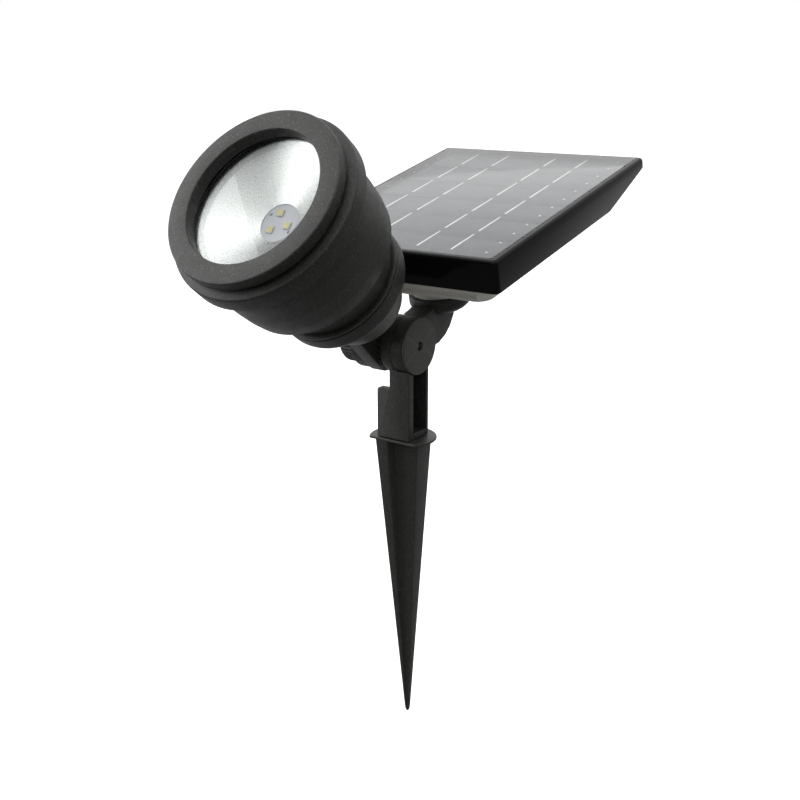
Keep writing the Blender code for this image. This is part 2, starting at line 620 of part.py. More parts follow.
def build_lower_cover(panel, plastic):
    """Shallow tapered pan with a deeper battery box in it, closing the housing from below."""
    top = PANEL_BOTTOM_W - GAP
    half = PANEL_HALF_WIDTH - COVER_SIDE_INSET
    front = PANEL_FRONT_V + COVER_FRONT_INSET
    rear = PANEL_SLOPE_V - 1.0 * MM
    wall = COVER_WALL
    box_half = 20.5 * MM
    box_front = -20.0 * MM
    box_rear = 76.0 * MM

    def ring(level, inset, inner=False):
        if inner:
            return (level, rounded_rectangle(box_half - inset, box_front + inset, box_rear - inset, 4.0 * MM))
        return (level, rounded_rectangle(half - inset, front + inset, rear - inset, COVER_CORNER))

    rings = [
        ring(top, wall),
        ring(top, 0.0),
        ring(COVER_FLOOR_W, COVER_TAPER),
        ring(COVER_FLOOR_W, 0.0, True),
        ring(BOX_FLOOR_W, 1.2 * MM, True),
    ]
    inside = [
        ring(BOX_FLOOR_W + wall, 1.2 * MM + wall, True),
        ring(COVER_FLOOR_W + wall, wall, True),
        ring(COVER_FLOOR_W + wall, COVER_TAPER + wall),
    ]
    mesh_data = bmesh.new()
    outer = [[mesh_data.verts.new((x, y, z)) for x, y in points] for z, points in rings]
    inner = [[mesh_data.verts.new((x, y, z)) for x, y in points] for z, points in inside]
    bridge_rings(mesh_data, outer, False)
    mesh_data.faces.new(outer[-1])
    bridge_rings(mesh_data, inner + [outer[0]], False)
    mesh_data.faces.new(inner[0])
    cover = make_object("battery_cover", mesh_data, plastic, panel)
    boss = rod(SWIVEL_BOSS_RADIUS, 5.3 * MM, BOX_FLOOR_W + 0.5 * MM, STEPS_LARGE)
    add_boolean(cover, "UNION", make_cutter("swivel_boss", boss, panel))
    hole = rod(2.3 * MM, 0.0, 20.0 * MM)
    add_boolean(cover, "DIFFERENCE", make_cutter("cover_pivot_hole", hole, panel))
    hole = rod(BUTTON_RADIUS + GAP, 0.0, 20.0 * MM)
    add_boolean(cover, "DIFFERENCE", make_cutter("cover_button_hole", hole, panel, (0, BUTTON_V, 0)))
    for number, (u, v) in enumerate(screw_places()):
        hole = rod(SCREW_RADIUS + GAP, COVER_FLOOR_W - 3.0 * MM, COVER_FLOOR_W + 4.0 * MM, 16)
        add_boolean(cover, "DIFFERENCE", make_cutter("cover_hole_" + str(number + 1), hole, panel, (u, v, 0)))
        seat = rod(SCREW_HEAD_RADIUS + GAP, COVER_FLOOR_W - MM, COVER_FLOOR_W + SCREW_SEAT, 16)
        add_boolean(cover, "DIFFERENCE", make_cutter("cover_seat_" + str(number + 1), seat, panel, (u, v, 0)))
    low = (half - 13.0 * MM, front - 3.0 * MM, COVER_FLOOR_W + 2.4 * MM)
    high = (half - 8.0 * MM, front + 1.7 * MM, COVER_FLOOR_W + 5.0 * MM)
    notch = box(low, high)
    add_boolean(cover, "DIFFERENCE", make_cutter("cover_notch", notch, panel))
    return cover


def build_cover_screws(panel, steel):
    made = []
    for number, (u, v) in enumerate(screw_places()):
        under = COVER_FLOOR_W + SCREW_SEAT - GAP
        bottom = under - SCREW_HEAD_HEIGHT
        profile = [
            (0.0, bottom),
            (SCREW_HEAD_RADIUS - 0.4 * MM, bottom),
            (SCREW_HEAD_RADIUS, bottom + 0.4 * MM),
            (SCREW_HEAD_RADIUS, under),
            (SCREW_RADIUS, under),
            (SCREW_RADIUS, PANEL_BOTTOM_W + 8.0 * MM),
            (0.0, PANEL_BOTTOM_W + 8.0 * MM),
        ]
        name = "cover_screw_" + str(number + 1)
        made.append(make_object(name, lathe(profile, 16), steel, panel, (u, v, 0)))
    return made


def build_electrics(panel, wrap, nickel, board_paint, switch_plastic, button_plastic):
    made = []
    low = -14.0 * MM
    high = low + BATTERY_LENGTH
    profile = [
        (0.0, low), (CELL_RADIUS - 0.4 * MM, low), (CELL_RADIUS, low + 0.4 * MM),
        (CELL_RADIUS, high - 2.0 * MM),
        (CELL_RADIUS - 0.6 * MM, high - 1.4 * MM), (3.0 * MM, high - 1.2 * MM), (3.0 * MM, high), (0.0, high),
    ]
    centre_w = BOX_FLOOR_W + COVER_WALL + 3.4 * MM + CELL_RADIUS
    cell = turn_to_y(lathe(profile, STEPS_SMALL))
    made.append(make_object("battery_cell", cell, wrap, panel, (0, 0, centre_w)))
    for name, start in (("contact_negative", low - 1.2 * MM), ("contact_positive", high + GAP)):
        corner = (6.0 * MM, start + 0.9 * MM, centre_w + 6.0 * MM)
        plate = box((-6.0 * MM, start, centre_w - 6.0 * MM), corner)
        made.append(make_object(name, plate, nickel, panel))
    board = box((-58.0 * MM, -6.0 * MM, 30.4 * MM), (-26.0 * MM, 52.0 * MM, 32.0 * MM))
    made.append(make_object("control_board", board, board_paint, panel))
    low = (-4.5 * MM, BUTTON_V - 4.5 * MM, 15.4 * MM)
    high = (4.5 * MM, BUTTON_V + 4.5 * MM, 20.0 * MM)
    made.append(make_object("switch_body", box(low, high), switch_plastic, panel))
    button_pivot = make_empty("button_slide", (0, BUTTON_V, 0), 0.0, panel)
    profile = [
        (0.0, 6.0 * MM), (BUTTON_RADIUS - 0.8 * MM, 6.0 * MM), (BUTTON_RADIUS, 6.8 * MM),
        (BUTTON_RADIUS, 10.5 * MM), (BUTTON_RADIUS + 1.2 * MM, 10.5 * MM),
        (BUTTON_RADIUS + 1.2 * MM, 11.6 * MM),
        (2.0 * MM, 11.6 * MM), (2.0 * MM, 13.4 * MM), (0.0, 13.4 * MM),
    ]
    made.append(make_object("power_button", lathe(profile, STEPS_SMALL), button_plastic, button_pivot))
    return made


def build():
    clear_scene()
    matt_black = make_material("matt_black_plastic", (0.030, 0.031, 0.029), 0.55)
    post_black = make_material("post_black_plastic", (0.026, 0.026, 0.025), 0.60)
    ring_black = make_material("bezel_black_plastic", (0.045, 0.047, 0.045), 0.60)
    gloss_black = make_material("panel_black_plastic", (0.010, 0.010, 0.011), 0.12)
    cover_black = make_material("cover_black_plastic", (0.030, 0.030, 0.030), 0.35)
    cap_black = make_material("disc_black_plastic", (0.050, 0.050, 0.046), 0.50)
    steel = make_material("zinc_plated_steel", (0.55, 0.56, 0.58), 0.30, 1.0)
    brass = make_material("brass", (0.72, 0.55, 0.25), 0.30, 1.0)
    lens_clear = make_material("clear_lens", (0.92, 0.94, 0.94), 0.05)
    rubber = make_material("black_rubber", (0.020, 0.020, 0.020), 0.80)
    mirror = make_material("silvered_plastic", (0.88, 0.89, 0.90), 0.22, 1.0)
    white_board = make_material("white_circuit_board", (0.78, 0.78, 0.84), 0.45)
    phosphor = make_material("led_phosphor", (0.86, 0.78, 0.36), 0.50)
    aluminium = make_material("aluminium", (0.75, 0.76, 0.78), 0.35, 1.0)
    glass = make_material("solar_glass", (0.10, 0.11, 0.13), 0.06)
    silicon = make_material("solar_silicon", (0.020, 0.024, 0.040), 0.25)
    backing = make_material("white_back_sheet", (0.60, 0.60, 0.60), 0.60)
    wrap = make_material("battery_wrap", (0.08, 0.25, 0.45), 0.40)
    nickel = make_material("nickel_strip", (0.70, 0.69, 0.66), 0.28, 1.0)
    green_board = make_material("green_circuit_board", (0.03, 0.18, 0.07), 0.45)
    switch_plastic = make_material("switch_plastic", (0.05, 0.05, 0.05), 0.45)
    button_rubber = make_material("button_rubber", (0.10, 0.10, 0.10), 0.70)

    build_spike(post_black)
    build_post(post_black)
    build_hinge_hardware(steel, cap_black)
    build_knob(matt_black, brass)

    lamp = make_empty("lamp_pivot", (0.0, 0.0, HINGE_HEIGHT), math.pi / 2 - LAMP_ELEVATION)
    build_lamp_shell(lamp, matt_black, ring_black)
    build_lamp_neck(lamp, matt_black)
    build_lamp_optics(lamp, lens_clear, rubber, mirror, white_board, phosphor, aluminium)

    build_panel_arm(matt_black, steel)
    panel = make_empty("panel_pivot", (SWIVEL_X, SWIVEL_Y, SWIVEL_HEIGHT), PANEL_TILT)
    build_panel_housing(panel, gloss_black)
    build_panel_laminate(panel, glass, silicon, backing)
    build_lower_cover(panel, cover_black)
    build_cover_screws(panel, steel)
    build_electrics(panel, wrap, nickel, green_board, switch_plastic, button_rubber)


build()
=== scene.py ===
"""Looks of the solar garden light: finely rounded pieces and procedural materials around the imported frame."""

import json
import math

import bmesh
import bpy
from mathutils import Matrix, Vector


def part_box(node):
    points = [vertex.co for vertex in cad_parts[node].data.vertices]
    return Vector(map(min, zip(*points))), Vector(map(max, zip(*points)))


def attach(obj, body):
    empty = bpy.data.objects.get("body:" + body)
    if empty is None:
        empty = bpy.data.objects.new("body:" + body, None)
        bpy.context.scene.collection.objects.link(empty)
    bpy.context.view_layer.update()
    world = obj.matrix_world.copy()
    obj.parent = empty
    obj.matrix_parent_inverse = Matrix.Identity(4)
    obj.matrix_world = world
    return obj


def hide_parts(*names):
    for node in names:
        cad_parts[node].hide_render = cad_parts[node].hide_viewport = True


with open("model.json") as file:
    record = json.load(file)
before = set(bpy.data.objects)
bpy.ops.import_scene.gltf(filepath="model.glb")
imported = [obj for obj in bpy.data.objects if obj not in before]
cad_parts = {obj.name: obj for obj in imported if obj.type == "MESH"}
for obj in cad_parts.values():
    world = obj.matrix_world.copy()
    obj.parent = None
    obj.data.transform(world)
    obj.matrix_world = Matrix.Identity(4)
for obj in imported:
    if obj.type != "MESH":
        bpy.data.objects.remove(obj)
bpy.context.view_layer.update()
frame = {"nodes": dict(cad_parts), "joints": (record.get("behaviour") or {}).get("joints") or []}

MM = 0.001
ROUND_STEPS = 144
SMALL_STEPS = 72
SMOOTH_ANGLE = math.radians(35)
JOINTS = {joint["name"]: joint for joint in frame["joints"]}


def centre_of(node):
    low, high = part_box(node)
    return (low + high) / 2


# Frames of the three moving groups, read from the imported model
HINGE_Z = JOINTS["lamp_tilt"]["pos_m"][2]
LENS_CENTRE = centre_of("lamp_lens")
LAMP_AXIS = (LENS_CENTRE - centre_of("led_board")).normalized()
LENS_MIDDLE_DEPTH = 8.55 * MM
LAMP_REACH = 167.1 * MM
LAMP_ORIGIN = LENS_CENTRE - LAMP_AXIS * (LAMP_REACH - LENS_MIDDLE_DEPTH)
SWIVEL = Vector(JOINTS["panel_swivel"]["pos_m"])
PANEL_NORMAL = Vector(JOINTS["panel_swivel"]["axis"]).normalized()
ACROSS = Vector((1.0, 0.0, 0.0))


def frame_matrix(origin, upward):
    """Local X across the light, local Z along upward."""
    back = upward.cross(ACROSS)
    turn = Matrix((ACROSS, back, upward)).transposed()
    return Matrix.Translation(origin) @ turn.to_4x4()


LAMP = frame_matrix(LAMP_ORIGIN, LAMP_AXIS)
PANEL = frame_matrix(SWIVEL, PANEL_NORMAL)
HINGE = Matrix.Translation((0.0, 0.0, HINGE_Z))
GROUND = Matrix.Identity(4)
ALONG_X = Matrix.Rotation(math.pi / 2, 4, "Y")

# Sizes shared by several pieces
KNUCKLE_RADIUS = (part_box("hinge_disc")[1].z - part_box("hinge_disc")[0].z) / 2
DISC_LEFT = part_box("hinge_disc")[0].x
DISC_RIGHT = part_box("hinge_disc")[1].x
EAR_LEFT = 3.2 * MM
KNUCKLE_LEFT = -4.6 * MM
KNUCKLE_RIGHT = 2.9 * MM
KNOB_LEFT, KNOB_RIGHT = (corner.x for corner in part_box("clamp_knob"))
GAP = 0.3 * MM
EAR_RIGHT = DISC_LEFT - GAP
BARREL_LEFT = KNOB_RIGHT + GAP
BOLT_BORE = 2.8 * MM
POST_HALF = 11.65 * MM
POST_FRONT = -10.0 * MM
POST_BACK = 11.5 * MM
SPIKE_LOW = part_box("ground_spike")[0]
FLANGE_THICKNESS = 1.6 * MM

PANEL_HALF = 76.0 * MM
PANEL_FRONT = -53.8 * MM
PANEL_REAR = 138.8 * MM
PANEL_TOP = 51.8 * MM
PANEL_BOTTOM = 32.5 * MM
PANEL_LIP = 6.4 * MM
PANEL_SLOPE = 88.0 * MM
PANEL_RIM = 3.4 * MM
PANEL_EDGE = 2.4 * MM
PANEL_CORNER = 3.5 * MM
HOUSING_WALL = 5.6 * MM
HOUSING_SIDE = 10.2 * MM
PAN_FLOOR = 24.3 * MM
BOX_FLOOR = 8.2 * MM
GLASS_THICKNESS = 2.4 * MM
CORNER_POST = 16.0 * MM
CELL_COUNT = 6


# ---------------------------------------------------------------- mesh helpers


def rounded(corners, closed=True, segments=6):
    """Turn (x, y, fillet radius) corners into (x, y) points with each fillet as an arc."""
    points = []
    count = len(corners)
    for number, (x, y, radius) in enumerate(corners):
        corner = Vector((x, y))
        if radius == 0.0 or (not closed and number in (0, count - 1)):
            points.append((x, y))
            continue
        before = Vector(corners[number - 1][:2]) - corner
        after = Vector(corners[(number + 1) % count][:2]) - corner
        half = before.angle(after) / 2
        if half > math.radians(89):
            points.append((x, y))
            continue
        setback = min(radius / math.tan(half), 0.49 * before.length, 0.49 * after.length)
        radius = setback * math.tan(half)
        middle = corner + (before.normalized() + after.normalized()).normalized() * (radius / math.sin(half))
        start = corner + before.normalized() * setback - middle
        sweep = start.angle_signed(corner + after.normalized() * setback - middle)
        for step in range(segments + 1):
            arm = start.copy()
            arm.rotate(Matrix.Rotation(-sweep * step / segments, 2))
            points.append((middle.x + arm.x, middle.y + arm.y))
    return points


def offset(points, distance):
    """Move a closed outline inwards by distance, whichever way round it runs."""
    count = len(points)
    area = sum(
        points[i][0] * points[(i + 1) % count][1] - points[(i + 1) % count][0] * points[i][1] for i in range(count)
    )
    side = 1.0 if area > 0 else -1.0
    moved = []
    for i in range(count):
        here = Vector(points[i])
        first = (here - Vector(points[i - 1])).normalized()
        second = (Vector(points[(i + 1) % count]) - here).normalized()
        normal = Vector((-first.y - second.y, first.x + second.x)) * side
        if normal.length < 1e-9:
            moved.append(tuple(here))
            continue
        normal.normalize()
        lean = max(0.35, normal.dot(Vector((-first.y, first.x)) * side))
        moved.append(tuple(here + normal * (distance / lean)))
    return moved


def bridge(mesh_data, rings, closed=False):
    pairs = list(zip(rings, rings[1:]))
    if closed:
        pairs.append((rings[-1], rings[0]))
    for first, second in pairs:
        count = max(len(first), len(second))
        for i in range(count):
            j = (i + 1) % count
            if len(first) == 1:
                corners = (first[0], second[i], second[j])
            elif len(second) == 1:
                corners = (first[i], first[j], second[0])
            else:
                corners = (first[i], first[j], second[j], second[i])
            mesh_data.faces.new(corners)


def lathe(profile, steps=ROUND_STEPS, closed=False, shape=None):
    """Revolve (radius, z) points about Z; shape(number, angle, radius, z) may change each point."""
    mesh_data = bmesh.new()
    rings = []
    for number, (radius, z) in enumerate(profile):
        if abs(radius) < 1e-9:
            rings.append([mesh_data.verts.new((0.0, 0.0, z))])
            continue
        ring = []
        for step in range(steps):
            angle = 2 * math.pi * step / steps
            size, level = shape(number, angle, radius, z) if shape else (radius, z)
            ring.append(mesh_data.verts.new((size * math.cos(angle), size * math.sin(angle), level)))
        rings.append(ring)
    bridge(mesh_data, rings, closed)
    return mesh_data


def stack(rings):
    """Join closed rings of 3-D points into one solid capped at both ends."""
    mesh_data = bmesh.new()
    made = [[mesh_data.verts.new(point) for point in ring] for ring in rings]
    bridge(mesh_data, made)
    mesh_data.faces.new(made[0])
    mesh_data.faces.new(made[-1])
    return mesh_data


def slab(outline, low, high, place, edge=0.4 * MM, segments=3):
    """Extrude a closed outline from low to high with rounded rims; place(x, y, level) makes each 3-D point."""
    rings = []
    for step in range(segments + 1):
        angle = step / segments * math.pi / 2
        rings.append((edge * (1 - math.sin(angle)), low + edge * (1 - math.cos(angle))))
    rings += [(inset, low + high - level) for inset, level in reversed(rings)]
    return stack([[place(x, y, level) for x, y in offset(outline, inset)] for inset, level in rings])


def facing_x(y, z, level):
    return (level, y, z)


def facing_y(x, z, level):
    return (x, level, z)


def facing_z(x, y, level):
    return (x, y, level)


def rounded_rectangle(half_x, low_y, high_y, radius):
    sides = [(half_x, high_y), (-half_x, high_y), (-half_x, low_y), (half_x, low_y)]
    return rounded([(x, y, radius) for x, y in sides], segments=8)


def block(low, high, edge=0.4 * MM):
    sides = [(low[0], low[1]), (high[0], low[1]), (high[0], high[1]), (low[0], high[1])]
    outline = rounded([(x, y, edge) for x, y in sides])
    return slab(outline, low[2], high[2], facing_z, edge)


def rod(radius, low, high, steps=SMALL_STEPS, edge=0.0):
    corners = [(0.0, low, 0.0), (radius, low, edge), (radius, high, edge), (0.0, high, 0.0)]
    return lathe(rounded(corners, closed=False), steps)


def solid(name, mesh_data, matrix=GROUND):
    """Make an object from mesh_data, with its place in its vertices."""
    bmesh.ops.recalc_face_normals(mesh_data, faces=mesh_data.faces)
    bmesh.ops.transform(mesh_data, matrix=matrix, verts=mesh_data.verts)
    mesh = bpy.data.meshes.new(name)
    mesh_data.to_mesh(mesh)
    mesh_data.free()
    obj = bpy.data.objects.new(name, mesh)
    bpy.context.scene.collection.objects.link(obj)
    return obj


def settle(obj):
    """Apply all modifiers, so that the object holds its final mesh."""
    bpy.context.view_layer.update()
    graph = bpy.context.evaluated_depsgraph_get()
    mesh = bpy.data.meshes.new_from_object(obj.evaluated_get(graph))
    obj.modifiers.clear()
    obj.data = mesh


def combine(obj, operation, mesh_data, matrix=GROUND):
    """Add to or cut from obj, and remove the tool."""
    tool = solid("tool", mesh_data, matrix)
    modifier = obj.modifiers.new("Combine", "BOOLEAN")
    modifier.operation = operation
    modifier.solver = "MANIFOLD"
    modifier.object = tool
    settle(obj)
    bpy.data.objects.remove(tool, do_unlink=True)


def finish_piece(obj, material, body, nodes):
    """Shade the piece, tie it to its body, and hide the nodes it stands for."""
    obj.data.materials.clear()
    obj.data.materials.append(material)
    obj.data.shade_smooth()
    obj.data.set_sharp_from_angle(angle=SMOOTH_ANGLE)
    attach(obj, body)
    if nodes:
        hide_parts(*nodes)
    return obj


# ---------------------------------------------------------------- materials


def shader_node(tree, kind, inputs=None, **attributes):
    """Add a node; inputs holds values or the sockets they are linked from."""
    made = tree.nodes.new(kind)
    for key, value in attributes.items():
        setattr(made, key, value)
    for key, value in (inputs or {}).items():
        if isinstance(value, bpy.types.NodeSocket):
            tree.links.new(value, made.inputs[key])
        else:
            made.inputs[key].default_value = value
    return made


def new_material(name):
    material = bpy.data.materials.new(name)
    material.use_nodes = True
    tree = material.node_tree
    return material, tree, tree.nodes["Principled BSDF"]


def noise(tree, coordinates, size, detail=2.0, roughness=0.5):
    inputs = {"Vector": coordinates, "Scale": 1.0 / size, "Detail": detail, "Roughness": roughness}
    return shader_node(tree, "ShaderNodeTexNoise", inputs).outputs["Fac"]


def remap(tree, value, low, high, from_low=0.3, from_high=0.7):
    inputs = {"Value": value, "From Min": from_low, "From Max": from_high, "To Min": low, "To Max": high}
    return shader_node(tree, "ShaderNodeMapRange", inputs).outputs["Result"]


def mix_colour(tree, factor, first, second):
    made = shader_node(tree, "ShaderNodeMix", {"Factor": factor}, data_type="RGBA")
    for socket, value in ((made.inputs[6], first), (made.inputs[7], second)):
        if isinstance(value, bpy.types.NodeSocket):
            tree.links.new(value, socket)
        else:
            socket.default_value = (*value, 1.0)
    return made.outputs[2]


def scaled(colour, factor):
    return tuple(channel * factor for channel in colour)


def plastic(name, colour, roughness, grain=0.7 * MM, depth=0.05 * MM, speckle=0.25, edge_highlight=0.35, scratches=0.0):
    """Moulded plastic: fine electro-eroded grain, slight blotches, painted glint specks, painted highlight on
    convex edges and optional fine scratches.
    """
    material, tree, shader = new_material(name)
    place = shader_node(tree, "ShaderNodeTexCoord").outputs["Object"]
    fine = noise(tree, place, grain, 3.0, 0.65)
    broad = noise(tree, place, 18 * MM, 2.0)
    body = mix_colour(tree, remap(tree, fine, 0.0, 1.0), scaled(colour, 1 - speckle), scaled(colour, 1 + speckle))
    body = mix_colour(tree, remap(tree, broad, 0.0, 0.22), body, scaled(colour, 1.35))
    # Painted glints: bright specks mixed into the colour, up to 1 + 3.2 x speckle, standing in for highlights on
    # the grain.
    painted_glint_mask = remap(tree, noise(tree, place, 1.3 * grain, 2.0, 0.6), 0.0, 1.0, 0.60, 0.68)
    body = mix_colour(tree, painted_glint_mask, body, scaled(colour, 1 + 3.2 * speckle))
    # Painted highlight: convex edges get a colour up to 2.6 times paler.
    point = shader_node(tree, "ShaderNodeNewGeometry").outputs["Pointiness"]
    edge = remap(tree, point, 0.0, edge_highlight, 0.515, 0.60)
    tint = mix_colour(tree, edge, body, scaled(colour, 2.6))
    tree.links.new(tint, shader.inputs["Base Color"])
    rough = remap(tree, noise(tree, place, 6 * MM, 3.0), roughness - 0.05, roughness + 0.05)
    tree.links.new(rough, shader.inputs["Roughness"])
    height = fine
    if scratches:
        stretched = shader_node(
            tree, "ShaderNodeMapping", {"Vector": place, "Scale": (0.12, 1.0, 1.0), "Rotation": (0.3, 0.2, 0.7)}
        ).outputs["Vector"]
        lines = remap(tree, noise(tree, stretched, 0.8 * MM, 4.0, 0.7), 0.0, scratches, 0.62, 0.72)
        height = shader_node(
            tree, "ShaderNodeMath", {0: fine, 1: lines}, operation="SUBTRACT"
        ).outputs["Value"]
    bump = shader_node(tree, "ShaderNodeBump", {"Height": height, "Distance": depth, "Strength": 1.0})
    tree.links.new(bump.outputs["Normal"], shader.inputs["Normal"])
    return material


def gloss_plastic(name, colour, roughness=0.10, gloss=0.5):
    """Polished black plastic with faint haze, dust specks and hairline swirls in its gloss."""
    material, tree, shader = new_material(name)
    place = shader_node(tree, "ShaderNodeTexCoord").outputs["Object"]
    broad = noise(tree, place, 30 * MM, 3.0)
    dust = noise(tree, place, 1.1 * MM, 4.0, 0.7)
    haze = mix_colour(tree, remap(tree, broad, 0.0, 1.0), colour, scaled(colour, 1.5))
    specks = mix_colour(tree, remap(tree, dust, 0.0, 0.5, 0.70, 0.80), haze, (0.05, 0.05, 0.05))
    tree.links.new(specks, shader.inputs["Base Color"])
    tree.links.new(remap(tree, broad, roughness - 0.03, roughness + 0.05), shader.inputs["Roughness"])
    shader.inputs["Specular IOR Level"].default_value = gloss
    ripple = noise(tree, place, 9 * MM, 1.0)
    bump = shader_node(tree, "ShaderNodeBump", {"Height": ripple, "Distance": 0.03 * MM, "Strength": 1.0})
    tree.links.new(bump.outputs["Normal"], shader.inputs["Normal"])
    return material


def metal(name, colour, roughness, grain=0.5 * MM, depth=0.01 * MM, stretch=(1.0, 1.0, 1.0)):
    """Metal with drawn or cast grain and uneven roughness."""
    material, tree, shader = new_material(name)
    place = shader_node(tree, "ShaderNodeTexCoord").outputs["Object"]
    drawn = shader_node(tree, "ShaderNodeMapping", {"Vector": place, "Scale": stretch}).outputs["Vector"]
    fine = noise(tree, drawn, grain, 3.0)
    broad = noise(tree, place, 5 * MM, 3.0)
    tree.links.new(
        mix_colour(tree, remap(tree, broad, 0.0, 1.0), scaled(colour, 0.85), colour), shader.inputs["Base Color"]
    )
    tree.links.new(remap(tree, fine, roughness - 0.06, roughness + 0.08), shader.inputs["Roughness"])
    shader.inputs["Metallic"].default_value = 1.0
    bump = shader_node(tree, "ShaderNodeBump", {"Height": fine, "Distance": depth, "Strength": 1.0})
    tree.links.new(bump.outputs["Normal"], shader.inputs["Normal"])
    return material


def mirror_foil(name):
    """Vacuum-metallised plastic with a fine orange-peel surface that breaks reflections into sparkles."""
    material, tree, shader = new_material(name)
    place = shader_node(tree, "ShaderNodeTexCoord").outputs["Object"]
    dimples = shader_node(
        tree, "ShaderNodeTexVoronoi", {"Vector": place, "Scale": 1.0 / (0.7 * MM)}, feature="SMOOTH_F1"
    ).outputs["Distance"]
    peel = noise(tree, place, 0.6 * MM, 3.0, 0.75)
    height = shader_node(tree, "ShaderNodeMath", {0: dimples, 1: peel}, operation="ADD").outputs["Value"]
    pits = remap(tree, peel, 0.0, 1.0, 0.38, 0.55)
    tree.links.new(mix_colour(tree, pits, (0.70, 0.705, 0.70), (0.92, 0.925, 0.92)), shader.inputs["Base Color"])
    shader.inputs["Metallic"].default_value = 1.0
    tree.links.new(remap(tree, peel, 0.24, 0.36), shader.inputs["Roughness"])
    bump = shader_node(tree, "ShaderNodeBump", {"Height": height, "Distance": 0.09 * MM, "Strength": 1.0})
    tree.links.new(bump.outputs["Normal"], shader.inputs["Normal"])
    return material


def clear_pane(name, tint, roughness, index=1.5):
    """Thin clear glass: see-through, mirroring by Fresnel, with faint smudges in its gloss."""
    material, tree, shader = new_material(name)
    tree.nodes.remove(shader)
    place = shader_node(tree, "ShaderNodeTexCoord").outputs["Object"]
    smudge = remap(tree, noise(tree, place, 12 * MM, 4.0), roughness, roughness + 0.06, 0.45, 0.75)
    through = shader_node(tree, "ShaderNodeBsdfTransparent", {"Color": (*tint, 1.0)})
    mirror = shader_node(tree, "ShaderNodeBsdfAnisotropic", {"Color": (1.0, 1.0, 1.0, 1.0), "Roughness": smudge})
    fresnel = shader_node(tree, "ShaderNodeFresnel", {"IOR": index}).outputs["Fac"]
    inside = shader_node(tree, "ShaderNodeNewGeometry").outputs["Backfacing"]
    outside = shader_node(tree, "ShaderNodeMath", {0: 1.0, 1: inside}, operation="SUBTRACT").outputs["Value"]
    fresnel = shader_node(tree, "ShaderNodeMath", {0: fresnel, 1: outside}, operation="MULTIPLY").outputs["Value"]
    mixed = shader_node(
        tree, "ShaderNodeMixShader", {0: fresnel, 1: through.outputs["BSDF"], 2: mirror.outputs["BSDF"]}
    )
    tree.links.new(mixed.outputs["Shader"], tree.nodes["Material Output"].inputs["Surface"])
    return material


def silicon(name):
    """Dark blue-black cell with its fine pale contact fingers."""
    material, tree, shader = new_material(name)
    place = shader_node(tree, "ShaderNodeTexCoord").outputs["Object"]
    fingers = shader_node(
        tree, "ShaderNodeTexWave", {"Vector": place, "Scale": 1.0 / (3.6 * MM), "Distortion": 0.0},
        bands_direction="X", wave_profile="SIN",
    ).outputs["Fac"]
    cloud = noise(tree, place, 7 * MM, 4.0)
    base = mix_colour(tree, remap(tree, cloud, 0.0, 1.0), (0.012, 0.014, 0.022), (0.022, 0.025, 0.036))
    tinted = mix_colour(tree, remap(tree, fingers, 0.0, 0.35, 0.93, 1.0), base, (0.16, 0.17, 0.18))
    tree.links.new(tinted, shader.inputs["Base Color"])
    tree.links.new(remap(tree, cloud, 0.28, 0.40), shader.inputs["Roughness"])
    return material


def board_paint(name, colour, speckle=0.06):
    """Solder resist: slightly glossy with a fine weave showing through."""
    material, tree, shader = new_material(name)
    place = shader_node(tree, "ShaderNodeTexCoord").outputs["Object"]
    weave = noise(tree, place, 0.9 * MM, 3.0)
    woven = mix_colour(tree, remap(tree, weave, 0.0, 1.0), scaled(colour, 1 - speckle), colour)
    tree.links.new(woven, shader.inputs["Base Color"])
    tree.links.new(remap(tree, weave, 0.32, 0.45), shader.inputs["Roughness"])
    bump = shader_node(tree, "ShaderNodeBump", {"Height": weave, "Distance": 0.02 * MM, "Strength": 1.0})
    tree.links.new(bump.outputs["Normal"], shader.inputs["Normal"])
    return material


def floor_material():
    material, tree, shader = new_material("pale_floor")
    place = shader_node(tree, "ShaderNodeTexCoord").outputs["Object"]
    soft = remap(tree, noise(tree, place, 400 * MM, 2.0), 0.0, 1.0)
    tree.links.new(mix_colour(tree, soft, (0.88, 0.88, 0.88), (0.90, 0.90, 0.90)), shader.inputs["Base Color"])
    shader.inputs["Roughness"].default_value = 0.8
    shader.inputs["Emission Color"].default_value = (1.0, 1.0, 1.0, 1.0)
    shader.inputs["Emission Strength"].default_value = 0.55
    return material


MATT_BLACK = plastic("matt_black_plastic", (0.022, 0.0224, 0.0196), 0.46, 0.95 * MM, 0.24 * MM, 0.6)
BEZEL_BLACK = plastic("bezel_black_plastic", (0.020, 0.0206, 0.0184), 0.46, 0.95 * MM, 0.24 * MM, 0.7)
POST_BLACK = plastic("post_black_plastic", (0.028, 0.0275, 0.0255), 0.44, 0.8 * MM, 0.15 * MM, 0.5, scratches=0.5)
DISC_BLACK = plastic("disc_black_plastic", (0.056, 0.056, 0.050), 0.46, speckle=0.12)
# Pale base colour: partly the cover's own grey, partly painted reflection of the white floor, which glossy rays do
# not see.
COVER_GREY = plastic("cover_grey_plastic", (0.620, 0.610, 0.560), 0.26, depth=0.01 * MM, speckle=0.1)
GASKET_BLACK = plastic("gasket_rubber", (0.012, 0.012, 0.012), 0.75, edge_highlight=0.1)
BUTTON_GREY = plastic("button_rubber", (0.08, 0.08, 0.08), 0.65, grain=0.5 * MM)
SWITCH_BLACK = plastic("switch_plastic", (0.04, 0.04, 0.04), 0.42)
PANEL_BLACK = gloss_plastic("panel_black_plastic", (0.004, 0.004, 0.004), 0.12, 0.16)
BATTERY_WRAP = gloss_plastic("battery_wrap", (0.05, 0.20, 0.42), 0.25)
ZINC_STEEL = metal("zinc_plated_steel", (0.60, 0.61, 0.63), 0.30)
BRASS = metal("turned_brass", (0.76, 0.58, 0.27), 0.28)
